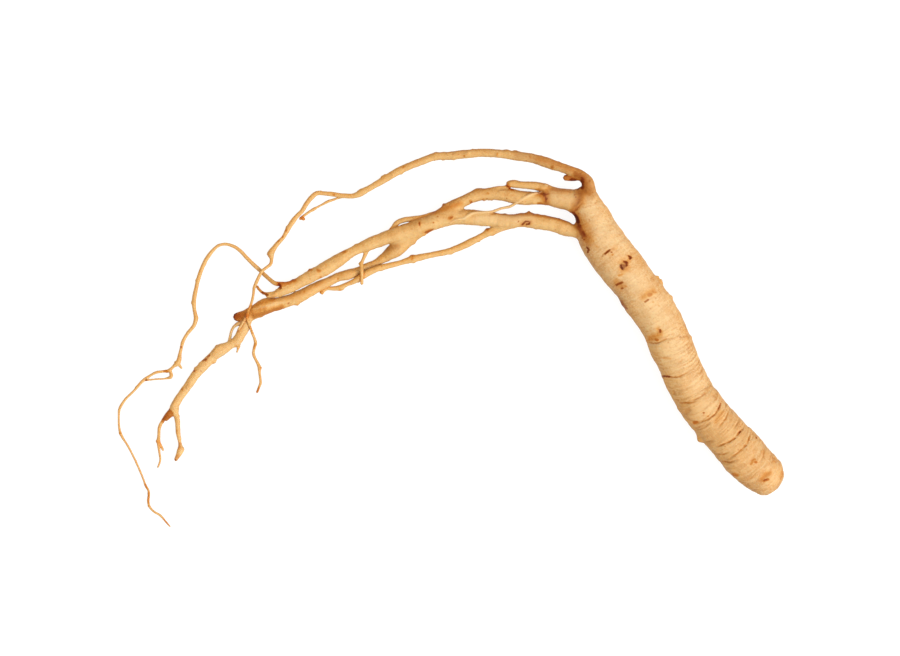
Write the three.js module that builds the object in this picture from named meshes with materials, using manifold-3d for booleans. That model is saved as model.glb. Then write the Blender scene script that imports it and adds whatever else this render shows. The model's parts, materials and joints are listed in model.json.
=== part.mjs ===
// A fresh ginseng root lying on a surface, in millimetres, +Z up.
// +X runs from the thread-like root tips towards the thick main body, +Y towards the upper branch.
// The whole plant grew as one piece, so it is one closed solid: every branch is a tapering round
// strand that is lathed straight, bent along its route and joined to its neighbours.
import * as THREE from "three";
import { mergeVertices } from "three/addons/utils/BufferGeometryUtils.js";
import Module from "manifold-3d";

const wasm = await Module();
wasm.setup();

// Driving dimensions.
const BODY_SIDES = 26; // facets round the main body
const THICK_SIDES = 12; // facets round the finger-like side roots
const BRANCH_SIDES = 8; // facets round the long upper branch
const THIN_SIDES = 6; // facets round the thread-like rootlets
const CAP_STATION = 0.35; // where a round end has its shoulder, in radii from its tip
const CAP_WIDTH = 0.76; // radius of that shoulder, in full radii
const KNOB_SIDES = 10;
const KNOB_RINGS = 7;
const TABLE_SIZE = 320; // side of the block that presses the underside flat
const TABLE_DEPTH = 40;

// Routes of the strands: x, y, height of the centre line, radius. Each starts where it grows from.
const MAIN_BODY = [
  [41.1, 46.0, 7.7, 1.6], [41.2, 44.0, 7.6, 2.1], [41.3, 42.4, 7.4, 2.95], [41.4, 40.8, 7.1, 3.9],
  [41.7, 38.7, 6.9, 4.65], [42.8, 35.6, 6.6, 5.5], [43.9, 32.2, 6.3, 6.2], [45.3, 29.3, 6.4, 6.65],
  [49.4, 23.3, 6.5, 6.8], [53.0, 18.8, 6.5, 6.65], [55.2, 15.9, 6.4, 6.55], [57.4, 12.7, 6.4, 6.6],
  [60.7, 7.9, 6.4, 6.5], [63.2, 4.0, 6.3, 6.45], [66.0, -2.5, 6.2, 6.55], [68.2, -7.2, 6.2, 6.3],
  [70.7, -13.0, 6.2, 6.35], [73.2, -17.5, 6.1, 6.25], [75.2, -20.5, 6.4, 6.55],
  [78.3, -24.4, 6.3, 6.45], [83.2, -29.9, 6.5, 6.6], [85.9, -32.8, 6.6, 6.8], [88.7, -36.1, 6.6, 6.8],
  [91.5, -38.8, 6.4, 6.6], [93.4, -40.5, 6.2, 6.35], [95.1, -42.2, 6.1, 5.75], [96.8, -43.9, 6.0, 4.4],
  [97.6, -44.7, 6.0, 2.9], [98.0, -45.1, 6.0, 1.2],
];
const UPPER_BRANCH = [
  [41.3, 42.8, 7.5, 2.0], [41.2, 45.4, 7.8, 1.9], [40.8, 46.9, 8.0, 1.8], [39.8, 48.0, 8.1, 1.6],
  [38.0, 49.1, 8.1, 1.5], [35.0, 50.3, 8.0, 1.4], [31.0, 51.7, 7.6, 1.5], [28.0, 52.7, 7.3, 1.55],
  [25.0, 53.6, 6.9, 1.45], [20.0, 54.4, 6.3, 1.4], [15.0, 55.1, 5.7, 1.3], [10.0, 55.4, 5.1, 1.25],
  [5.0, 55.1, 4.6, 1.25], [0.0, 54.6, 4.1, 1.25], [-5.0, 54.2, 3.6, 1.15], [-10.0, 52.4, 3.1, 1.1],
  [-15.0, 50.3, 2.6, 1.1], [-20.0, 47.4, 2.1, 1.0], [-25.0, 44.5, 1.7, 0.95], [-27.0, 43.4, 1.5, 1.05],
  [-29.0, 42.6, 1.3, 0.8], [-32.0, 42.6, 1.1, 0.7], [-35.0, 43.0, 0.9, 0.7], [-38.0, 43.3, 0.8, 0.65],
  [-40.0, 43.4, 0.7, 0.7], [-42.0, 41.8, 0.7, 0.75], [-43.3, 40.1, 0.7, 0.7], [-44.6, 38.0, 0.7, 0.65],
  [-46.1, 36.5, 0.7, 0.65], [-47.3, 35.0, 0.75, 0.75], [-49.0, 32.2, 0.7, 0.7], [-50.2, 30.1, 0.7, 0.6],
  [-51.6, 28.6, 0.7, 0.65], [-52.9, 27.0, 0.8, 0.75], [-53.9, 25.2, 1.0, 1.0], [-53.7, 23.6, 1.3, 0.55],
  [-54.0, 22.1, 1.8, 0.5], [-55.2, 21.1, 2.2, 0.45], [-56.5, 20.0, 2.4, 0.5], [-57.5, 18.3, 2.5, 0.5],
  [-58.3, 16.5, 2.7, 0.5], [-58.9, 15.0, 2.9, 0.45], [-59.1, 13.3, 3.4, 0.4], [-59.4, 11.5, 3.9, 0.4],
  [-60.0, 9.5, 4.2, 0.38], [-60.7, 7.8, 4.4, 0.4], [-61.0, 6.3, 4.4, 0.45], [-60.6, 4.8, 4.1, 0.4],
  [-60.0, 3.0, 3.1, 0.35], [-59.5, 1.5, 2.1, 0.4], [-58.8, -0.3, 1.3, 0.4], [-58.5, -1.5, 0.9, 0.5],
  [-58.9, -3.0, 0.7, 0.42], [-59.1, -4.9, 0.5, 0.45], [-58.3, -6.8, 0.5, 0.42], [-57.5, -8.5, 0.5, 0.5],
  [-57.3, -10.5, 0.4, 0.38], [-57.1, -12.2, 0.4, 0.38], [-57.0, -13.6, 0.4, 0.4],
  [-57.5, -14.9, 0.4, 0.36], [-58.2, -16.7, 0.4, 0.35],
];
const BRANCH_STUB = [[39.4, 48.2, 7.9, 1.0], [36.8, 47.9, 7.6, 1.0], [33.6, 47.9, 7.3, 0.8]];
const BRANCH_TWIG = [
  [-31.0, 42.7, 1.0, 0.4], [-33.5, 42.0, 0.6, 0.35], [-35.0, 41.5, 0.4, 0.35], [-36.8, 40.9, 0.4, 0.45],
  [-38.6, 39.9, 0.35, 0.32], [-40.5, 38.9, 0.35, 0.33], [-42.2, 37.9, 0.35, 0.38],
  [-44.0, 36.6, 0.35, 0.38], [-45.4, 35.4, 0.35, 0.38],
];
const TWIG_FORK = [[-45.0, 36.5, 0.4, 0.4], [-44.5, 35.9, 0.45, 0.55], [-43.6, 35.4, 0.35, 0.35]];
const MIDDLE_ROOT = [
  [40.2, 41.0, 6.9, 2.8], [38.8, 41.2, 6.9, 3.3], [37.0, 41.0, 6.8, 3.4], [35.0, 41.4, 6.7, 3.2],
  [32.0, 41.9, 6.5, 3.0], [30.0, 42.1, 6.4, 2.7], [27.6, 41.9, 6.2, 2.1], [25.0, 41.8, 6.1, 1.95],
  [20.0, 42.1, 5.9, 2.15], [18.0, 42.6, 5.8, 2.1], [16.0, 42.9, 5.6, 2.0], [12.0, 43.1, 5.3, 1.8],
  [8.0, 42.7, 5.0, 1.75], [4.0, 41.0, 4.8, 1.65], [0.0, 38.8, 4.5, 2.0], [-3.0, 36.8, 4.3, 1.8],
  [-5.0, 35.4, 4.2, 1.6],
];
const MIDDLE_SIDE_TUBE = [
  [31.0, 43.9, 6.6, 1.2], [28.5, 44.8, 6.6, 1.3], [25.0, 45.5, 6.5, 1.25], [21.0, 45.8, 6.3, 1.1],
  [18.9, 46.1, 6.2, 1.15], [18.1, 46.1, 6.2, 1.1], [17.0, 45.3, 6.0, 0.65], [14.0, 44.9, 5.9, 0.5],
  [11.0, 44.1, 5.7, 0.5], [8.0, 43.2, 5.4, 0.5],
];
const MIDDLE_BACK_STRAND = [
  [-3.0, 37.3, 4.3, 0.9], [-5.0, 37.1, 4.2, 0.75], [-9.0, 36.0, 3.9, 0.75], [-12.0, 35.6, 3.7, 0.8],
  [-14.0, 35.3, 3.6, 0.8], [-15.3, 34.9, 3.6, 0.8], [-16.3, 34.2, 3.6, 0.8], [-17.1, 33.1, 3.6, 0.8],
  [-18.1, 31.8, 3.7, 0.8],
];
const CROSSING_THREAD = [
  [27.0, 43.4, 7.3, 0.4], [25.0, 43.1, 7.5, 0.4], [23.0, 42.4, 7.9, 0.4], [21.0, 41.2, 7.8, 0.4],
  [19.5, 40.3, 7.2, 0.4], [18.0, 39.4, 6.6, 0.4], [15.0, 38.7, 6.3, 0.4], [12.5, 37.8, 6.3, 0.4],
  [9.0, 37.5, 6.5, 0.4], [6.2, 37.2, 6.9, 0.4], [5.0, 36.5, 7.1, 0.4], [3.5, 35.2, 6.8, 0.4],
];
const LOWER_ROOT = [
  [43.0, 32.0, 6.6, 2.6], [39.0, 32.0, 6.5, 2.3], [36.5, 32.1, 6.4, 1.95], [34.0, 32.9, 6.2, 2.2],
  [31.0, 33.9, 6.1, 2.2], [28.0, 34.5, 6.0, 2.25], [25.0, 35.0, 5.8, 2.2], [22.0, 35.3, 5.7, 2.05],
  [18.0, 35.0, 5.5, 2.0], [14.0, 35.3, 5.2, 2.1], [10.0, 35.8, 5.0, 2.3], [6.0, 36.1, 4.9, 2.3],
  [-1.0, 35.9, 4.6, 2.4], [-6.0, 34.4, 4.3, 2.4], [-9.0, 33.4, 4.2, 2.5], [-12.0, 32.4, 4.1, 2.3],
  [-16.0, 31.0, 4.0, 2.35], [-20.0, 29.7, 3.9, 2.0], [-24.0, 28.2, 3.8, 1.9], [-28.0, 26.5, 3.7, 1.5],
  [-30.0, 25.5, 3.6, 1.55], [-33.0, 23.6, 3.6, 1.95], [-38.0, 20.5, 3.6, 2.05], [-41.0, 18.9, 3.5, 1.9],
  [-44.0, 17.3, 3.5, 1.8], [-47.0, 15.7, 3.5, 1.65], [-50.0, 14.2, 3.6, 1.5], [-53.0, 13.0, 3.7, 1.0],
  [-55.6, 12.8, 3.7, 0.8],
];
const BROKEN_STUMP = [[-46.8, 16.4, 3.9, 0.8], [-48.6, 16.2, 4.2, 0.75], [-51.4, 15.7, 4.2, 0.8]];
const FLOOR_ROOT = [
  [-8.0, 33.1, 3.9, 1.7], [-12.5, 29.4, 2.7, 1.9], [-16.5, 26.4, 2.1, 2.3], [-19.8, 24.1, 1.5, 1.5],
  [-22.5, 22.4, 1.1, 1.1], [-25.5, 21.3, 1.0, 1.0], [-28.0, 19.9, 1.2, 1.25], [-31.0, 18.9, 1.5, 1.55],
  [-34.0, 18.1, 1.3, 1.35], [-37.0, 16.65, 1.4, 1.4], [-40.0, 15.35, 1.45, 1.6], [-43.0, 13.7, 1.7, 1.8],
  [-46.0, 12.1, 1.8, 1.9], [-49.0, 11.0, 1.7, 1.8], [-52.0, 10.1, 1.8, 1.95], [-55.0, 9.6, 2.2, 2.35],
  [-58.0, 8.2, 2.1, 2.2], [-61.0, 6.8, 1.8, 1.8], [-63.5, 6.3, 1.8, 1.4], [-65.3, 6.2, 1.7, 0.8],
];
const SIDE_ROOTLET = [
  [18.5, 34.2, 4.8, 1.2], [14.5, 32.7, 4.3, 1.1], [12.0, 31.8, 4.0, 1.15], [10.0, 30.8, 3.7, 1.0],
  [5.0, 28.2, 3.1, 1.1], [0.0, 26.1, 2.7, 0.95], [-3.0, 25.4, 2.6, 0.9], [-7.0, 24.6, 2.5, 0.9],
  [-11.0, 23.7, 2.5, 1.1], [-15.0, 22.5, 2.4, 0.8], [-19.0, 21.5, 2.4, 0.9], [-22.0, 20.7, 2.5, 0.95],
  [-25.0, 19.4, 2.5, 1.0], [-27.5, 17.8, 2.2, 0.95], [-29.5, 16.7, 1.7, 0.75], [-31.0, 16.1, 1.3, 0.65],
  [-33.0, 15.1, 0.9, 0.8], [-35.0, 14.8, 0.8, 0.65], [-37.0, 14.8, 0.7, 0.6], [-39.2, 13.5, 0.6, 0.5],
];
const CROSSING_TWIG = [
  [-25.0, 26.6, 3.6, 0.7], [-25.6, 25.0, 3.2, 0.6], [-26.1, 23.8, 3.1, 0.5], [-26.6, 22.5, 3.2, 0.5],
  [-26.7, 21.0, 3.6, 0.55], [-26.6, 19.5, 3.8, 0.55], [-26.6, 18.0, 3.4, 0.5], [-26.6, 15.8, 2.8, 0.45],
];
const TIP_TWIG = [
  [-55.0, 13.0, 3.7, 0.45], [-56.7, 13.8, 3.2, 0.4], [-57.5, 14.6, 2.6, 0.4], [-58.2, 15.7, 1.9, 0.4],
];
const DIAGONAL_ROOT = [
  [-60.6, 7.2, 2.6, 1.1], [-61.2, 5.0, 2.2, 1.5], [-61.8, 3.2, 1.7, 1.6], [-62.9, 1.1, 1.6, 1.5],
  [-63.9, -0.6, 1.5, 1.45], [-66.0, -2.1, 1.2, 1.3], [-69.2, -3.9, 1.7, 1.8], [-71.4, -5.7, 1.4, 1.45],
  [-74.1, -8.4, 1.4, 1.5], [-76.1, -10.6, 1.3, 1.35], [-78.2, -13.6, 1.2, 1.3],
  [-80.4, -16.7, 1.1, 1.2], [-82.2, -19.3, 1.1, 1.2], [-82.9, -21.2, 1.3, 1.3],
  [-82.4, -22.8, 0.9, 0.9], [-82.0, -24.5, 0.8, 0.8], [-81.7, -28.5, 0.7, 0.7],
  [-81.1, -32.2, 0.6, 0.62], [-81.0, -33.5, 0.8, 1.0], [-81.5, -34.8, 0.7, 0.85],
  [-82.1, -35.9, 0.6, 0.6], [-82.6, -37.0, 0.5, 0.5],
];
const FORK_STUMP = [
  [-82.6, -21.2, 1.2, 1.0], [-83.8, -22.4, 1.1, 1.15], [-84.9, -23.5, 0.9, 1.0],
  [-86.0, -24.8, 0.6, 0.75],
];
const FORK_ROOTLET = [
  [-85.3, -24.0, 0.6, 0.5], [-86.0, -24.6, 0.5, 0.45], [-86.9, -25.8, 0.45, 0.5],
  [-87.4, -27.2, 0.45, 0.5], [-87.5, -29.0, 0.45, 0.45], [-87.6, -31.2, 0.5, 0.55],
  [-87.4, -34.0, 0.35, 0.33], [-87.1, -36.8, 0.3, 0.3], [-87.9, -39.1, 0.3, 0.25],
];
const FORK_SPUR = [[-87.5, -31.2, 0.5, 0.4], [-86.7, -32.7, 0.4, 0.35], [-86.1, -34.0, 0.35, 0.3]];
const BRIDGE_TWIG = [
  [-62.4, 4.5, 2.6, 0.6], [-63.7, 4.2, 2.4, 0.6], [-64.9, 3.4, 1.9, 0.45], [-65.8, 1.8, 1.1, 0.4],
  [-66.1, 0.4, 0.9, 0.4], [-66.5, -1.2, 1.0, 0.4],
];
const DIAGONAL_SPUR = [[-63.6, -2.2, 0.9, 0.35], [-63.8, -3.4, 0.5, 0.3], [-64.2, -4.6, 0.35, 0.25]];
const OVERLYING_TWIG = [[-61.0, 6.6, 4.3, 0.4], [-62.2, 4.6, 3.8, 0.35], [-63.8, 2.2, 2.6, 0.35]];
const LOOP_ROOTLET = [
  [-50.2, 16.2, 4.2, 0.65], [-52.5, 16.3, 3.9, 0.65], [-54.0, 17.3, 3.0, 0.6], [-55.5, 18.6, 1.8, 0.6],
  [-56.8, 19.9, 0.9, 0.6], [-58.6, 21.5, 0.6, 0.6], [-61.6, 24.5, 0.55, 0.55],
  [-63.1, 26.1, 0.55, 0.55], [-65.0, 27.4, 0.5, 0.5], [-67.5, 28.1, 0.45, 0.45],
  [-69.5, 27.7, 0.45, 0.45], [-71.4, 26.1, 0.5, 0.55], [-73.0, 24.0, 0.6, 0.6], [-74.9, 20.0, 0.6, 0.6],
  [-76.3, 15.0, 0.6, 0.6], [-77.0, 10.5, 0.6, 0.65], [-76.8, 8.0, 0.5, 0.55], [-76.4, 6.0, 0.6, 0.65],
  [-76.8, 4.1, 0.6, 0.6], [-78.9, 1.3, 0.5, 0.5], [-80.0, -0.5, 0.5, 0.5], [-81.1, -4.4, 0.5, 0.5],
  [-81.9, -7.6, 0.7, 0.75], [-83.0, -8.5, 0.5, 0.5], [-84.3, -9.7, 0.45, 0.45],
  [-86.4, -10.1, 0.4, 0.38], [-88.4, -10.4, 0.4, 0.4], [-90.2, -11.4, 0.4, 0.38],
  [-92.2, -12.8, 0.4, 0.45], [-94.8, -15.7, 0.35, 0.35], [-97.9, -18.9, 0.35, 0.4],
  [-99.4, -21.7, 0.35, 0.4], [-99.55, -24.5, 0.35, 0.33], [-98.9, -28.9, 0.35, 0.4],
  [-96.8, -32.4, 0.3, 0.3], [-94.2, -37.6, 0.3, 0.28], [-93.0, -40.3, 0.3, 0.3],
  [-92.1, -42.6, 0.3, 0.28], [-91.5, -44.3, 0.35, 0.34], [-90.6, -45.9, 0.35, 0.36],
  [-90.5, -47.2, 0.35, 0.38], [-90.7, -49.0, 0.35, 0.36], [-90.4, -50.4, 0.35, 0.38],
  [-88.9, -52.2, 0.35, 0.33], [-87.3, -53.1, 0.35, 0.33], [-85.4, -55.2, 0.3, 0.25],
  [-84.0, -56.8, 0.3, 0.2],
];
const LOOP_SPUR = [[-81.8, -7.6, 0.6, 0.5], [-81.2, -8.4, 0.5, 0.4], [-80.5, -9.4, 0.4, 0.3]];
const LOOP_SIDE_THREAD = [
  [-84.2, -9.5, 0.45, 0.4], [-83.9, -11.7, 0.5, 0.55], [-85.4, -12.2, 0.35, 0.3],
  [-88.0, -12.4, 0.3, 0.25], [-91.5, -12.7, 0.3, 0.28],
];

// Round knobs standing out of the strands: x, y, height, radius.
const KNOBS = [
  [61.6, 16.6, 6.5, 1.9], [65.0, 11.8, 6.5, 1.7], [75.3, -29.6, 6.0, 1.7], [30.2, 50.9, 7.4, 0.9],
  [-56.6, 7.3, 1.6, 0.9], [-46.0, 10.8, 1.2, 1.0], [-64.3, -2.3, 1.1, 0.9], [-39.0, 13.9, 0.7, 0.65],
];

const strands = [
  { sides: BODY_SIDES, route: MAIN_BODY },
  { sides: BRANCH_SIDES, route: UPPER_BRANCH },
  { sides: THIN_SIDES, route: BRANCH_STUB },
  { sides: THIN_SIDES, route: BRANCH_TWIG },
  { sides: THIN_SIDES, route: TWIG_FORK },
  { sides: THICK_SIDES, route: MIDDLE_ROOT },
  { sides: BRANCH_SIDES, route: MIDDLE_SIDE_TUBE },
  { sides: THIN_SIDES, route: MIDDLE_BACK_STRAND },
  { sides: THIN_SIDES, route: CROSSING_THREAD },
  { sides: THICK_SIDES, route: LOWER_ROOT },
  { sides: BRANCH_SIDES, route: BROKEN_STUMP },
  { sides: THICK_SIDES, route: FLOOR_ROOT },
  { sides: BRANCH_SIDES, route: SIDE_ROOTLET },
  { sides: THIN_SIDES, route: CROSSING_TWIG },
  { sides: THIN_SIDES, route: TIP_TWIG },
  { sides: THICK_SIDES, route: DIAGONAL_ROOT },
  { sides: THIN_SIDES, route: DIAGONAL_SPUR },
  { sides: BRANCH_SIDES, route: FORK_STUMP },
  { sides: THIN_SIDES, route: FORK_ROOTLET },
  { sides: THIN_SIDES, route: FORK_SPUR },
  { sides: THIN_SIDES, route: BRIDGE_TWIG },
  { sides: THIN_SIDES, route: OVERLYING_TWIG },
  { sides: THIN_SIDES, route: LOOP_ROOTLET },
  { sides: THIN_SIDES, route: LOOP_SPUR },
  { sides: THIN_SIDES, route: LOOP_SIDE_THREAD },
];

// Turns a closed three.js geometry into a solid that can be joined and cut.
function toSolid(geometry) {
  geometry.deleteAttribute("normal");
  geometry.deleteAttribute("uv");
  const welded = mergeVertices(geometry);
  const corners = welded.index.array;
  const triangles = [];
  for (let i = 0; i < corners.length; i += 3) {
    const [a, b, c] = [corners[i], corners[i + 1], corners[i + 2]];
    const hasArea = a !== b && b !== c && c !== a;
    if (hasArea) triangles.push(a, b, c);
  }
  return new wasm.Manifold(new wasm.Mesh({
    numProp: 3,
    vertProperties: new Float32Array(welded.attributes.position.array),
    triVerts: new Uint32Array(triangles),
  }));
}

// Rings of a strand: one at each point of its route, with a round cap drawn in at both ends.
function ringsOf(route) {
  const points = route.map(([x, y, z]) => new THREE.Vector3(x, y, z));
  const curve = new THREE.CatmullRomCurve3(points, false, "centripetal");
  const last = route.length - 1;
  const ringAt = (t, radius) => ({ centre: curve.getPoint(t), along: curve.getTangent(t), radius });
  const startCap = (CAP_STATION * route[0][3]) / points[0].distanceTo(points[1]) / last;
  const endCap = (CAP_STATION * route[last][3]) / points[last].distanceTo(points[last - 1]) / last;
  const rings = [ringAt(0, 0), ringAt(startCap, route[0][3] * CAP_WIDTH)];
  for (let i = 1; i < last; i += 1) {
    rings.push(ringAt(i / last, route[i][3]));
  }
  rings.push(ringAt(1 - endCap, route[last][3] * CAP_WIDTH), ringAt(1, 0));
  return rings;
}

// A straight lathed strand, one unit from ring to ring, bent so that each ring sits on its route.
function strandSolid({ sides, route }) {
  const rings = ringsOf(route);
  const profile = rings.map((ring, i) => new THREE.Vector2(ring.radius, i));
  const geometry = new THREE.LatheGeometry(profile, sides);
  const position = geometry.attributes.position;
  const up = new THREE.Vector3(0, 0, 1);
  for (let i = 0; i < position.count; i += 1) {
    const { centre, along } = rings[Math.round(position.getY(i))];
    const across = new THREE.Vector3().crossVectors(along, up).normalize();
    const above = new THREE.Vector3().crossVectors(across, along);
    const point = centre.clone()
      .addScaledVector(across, position.getX(i))
      .addScaledVector(above, position.getZ(i));
    position.setXYZ(i, point.x, point.y, point.z);
  }
  return toSolid(geometry);
}

function knobSolid([x, y, z, radius]) {
  const geometry = new THREE.SphereGeometry(radius, KNOB_SIDES, KNOB_RINGS);
  geometry.translate(x, y, z);
  return toSolid(geometry);
}

// Everything joined, then pressed flat where it lies on the surface at z = 0.
function rootGeometry() {
  const pieces = [...strands.map(strandSolid), ...KNOBS.map(knobSolid)];
  const joined = pieces.reduce((whole, piece) => whole.add(piece));
  const table = new THREE.BoxGeometry(TABLE_SIZE, TABLE_SIZE, TABLE_DEPTH);
  table.translate(0, 0, -TABLE_DEPTH / 2);
  const mesh = joined.subtract(toSolid(table)).getMesh();
  const geometry = new THREE.BufferGeometry();
  geometry.setAttribute("position", new THREE.BufferAttribute(mesh.vertProperties, 3));
  geometry.setIndex(new THREE.BufferAttribute(mesh.triVerts, 1));
  geometry.computeVertexNormals();
  return geometry;
}

function rootSkin() {
  return new THREE.MeshStandardMaterial({ color: 0xe2ae72, roughness: 0.55, metalness: 0 });
}

const root = new THREE.Mesh(rootGeometry(), rootSkin());
root.name = "ginseng_root";
const ginseng = new THREE.Group();
ginseng.add(root);

export default ginseng;
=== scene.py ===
"""A fresh ginseng root, grown strand by strand, and the studio that it lies in.

Lengths in the tables are millimetres in the frame's own axes: +X towards the blunt end of the
main body, +Y towards the long upper branch, +Z up from the floor. The finished mesh is in metres.
"""

import json
import math

import bmesh
import bpy
import numpy as np
from bpy.props import FloatProperty, FloatVectorProperty, IntProperty, PointerProperty
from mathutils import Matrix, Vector, noise


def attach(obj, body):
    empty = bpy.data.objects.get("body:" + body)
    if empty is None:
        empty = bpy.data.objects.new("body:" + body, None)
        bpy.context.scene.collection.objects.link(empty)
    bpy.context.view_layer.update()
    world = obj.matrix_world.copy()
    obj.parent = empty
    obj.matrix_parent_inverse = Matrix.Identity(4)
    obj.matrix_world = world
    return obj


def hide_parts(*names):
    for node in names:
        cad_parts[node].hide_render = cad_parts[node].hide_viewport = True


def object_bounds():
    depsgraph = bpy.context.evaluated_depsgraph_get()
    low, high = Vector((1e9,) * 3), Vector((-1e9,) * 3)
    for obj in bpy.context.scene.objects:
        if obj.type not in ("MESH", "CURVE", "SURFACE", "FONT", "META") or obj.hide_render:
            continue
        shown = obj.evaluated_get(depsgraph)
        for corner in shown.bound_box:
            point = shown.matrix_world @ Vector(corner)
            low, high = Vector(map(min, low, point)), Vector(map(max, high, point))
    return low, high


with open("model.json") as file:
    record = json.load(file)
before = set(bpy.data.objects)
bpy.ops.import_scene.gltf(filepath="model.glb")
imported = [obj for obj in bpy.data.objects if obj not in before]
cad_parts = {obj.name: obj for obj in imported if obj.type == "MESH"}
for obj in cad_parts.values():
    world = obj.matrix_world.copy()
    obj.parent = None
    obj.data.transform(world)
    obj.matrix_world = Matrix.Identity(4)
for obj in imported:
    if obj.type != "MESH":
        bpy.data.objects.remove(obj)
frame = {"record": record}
CAD_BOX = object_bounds()

bl_info = {
    "name": "Ginseng Root",
    "version": (1, 0, 0),
    "blender": (4, 5, 0),
    "location": "3D View > Sidebar > Ginseng",
    "description": "Grows a fresh ginseng root with its rootlets, and sets up a pale studio",
    "category": "Add Mesh",
}

NODE = "ginseng_root"
BODY = "root"
SLOT = frame["record"]["materials"][0]["slot"]
CHIEF = "main_body"  # the thick strand, which has rings and creases of its own

MM = 0.001
UP = np.array([0.0, 0.0, 1.0])
FAR = 1e3  # further off than any part of the root
LEAST_DISTANCE = 1e-6  # keeps a direction from being divided by nothing

# Growth and relief of the skin.
BOX_MARGIN = 0.02  # how far inside the solid's box the skin stays
SETTLINGS = 2  # steps towards the filled shape after each smoothing of the hollows
WEAKEST_PULL = 0.3  # keeps these steps short where two strands' directions cancel out
FORK_FADE = 4.0  # length over which the filling of a fork in FORK_ENDS ends
SEED_SHIFT = 17.3  # distance in the noise between two seeds
NOISE_GAIN = 1.6  # brings the noise to between about -1 and 1
KNOT_HEIGHT = 0.28
KNOT_RUST = 0.25  # strength of the rust on a knot
SHARP_DEPTH = 0.24  # depth of the creases that the noise places
SHARP_WIDTH = 0.11  # how near to 0 the noise is in such a crease
SMALL_STAIN = 0.6  # a stain with a half width below this has a sharper edge
STEEP_FALL, SOFT_FALL = 4, 2  # powers of the distance, for a small stain and for a large one

# Fineness along, across and over a strand of what follows its length.
KNOT_GRAIN = (0.55, 0.75, 0.75)
RING_GRAIN = (1.0 / 0.8, 0.14, 0.14)
WIDE_RING_GRAIN = (1.0 / 1.9, 0.1, 0.1)
CREASE_GRAIN = (1.0 / 2.6, 0.09, 0.09)

# The same for the colours, and how much detail each pattern has.
LINES = (1.7, 0.16, 0.16), 3.0
STREAKS = (0.55, 0.1, 0.1), 4.0
CUTS = (0.75, 0.08, 0.08), 3.0
HAIRS = (0.12, 1.6, 1.6), 3.0

# Which way the sides of the skin face that get painted light: browner painted shade, a lighter
# painted highlight, the palest painted highlight on top, and lighter painted fill light on the
# shaded side.
PAINTED_SHADE_SIDE = (-0.3, 0.87, -0.2)
PAINTED_HIGHLIGHT_SIDE = (0.35, -0.72, 0.6)
PAINTED_TOP_SIDE = (0.15, -0.25, 0.957)
PAINTED_FILL_SIDE = (-0.88, 0.45, 0.0)

# What the skin's material reads at each point, apart from its unbent place and its stains.
SKIN_VALUES = (
    "crease", "painted_contact_shade", "seam", "girth", "painted_shade", "painted_highlight", "painted_top_highlight", "painted_side_shade", "painted_fill",
)

# The studio.
STUDIO_LIGHT = 2.1  # brightness of a matt white card lying under the studio's lights
KEY_AIM = (-0.9, 0.28, -1.0)
TOP_AIM = (0.0, 0.0, -1.0)
WARM_SKY = (1.0, 0.88, 0.7, 1.0)
WHITE = (1.0, 1.0, 1.0, 1.0)
PAPER = (0.15, 0.15, 0.15, 1.0)
VIEW_RANGE = 20.0

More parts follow.
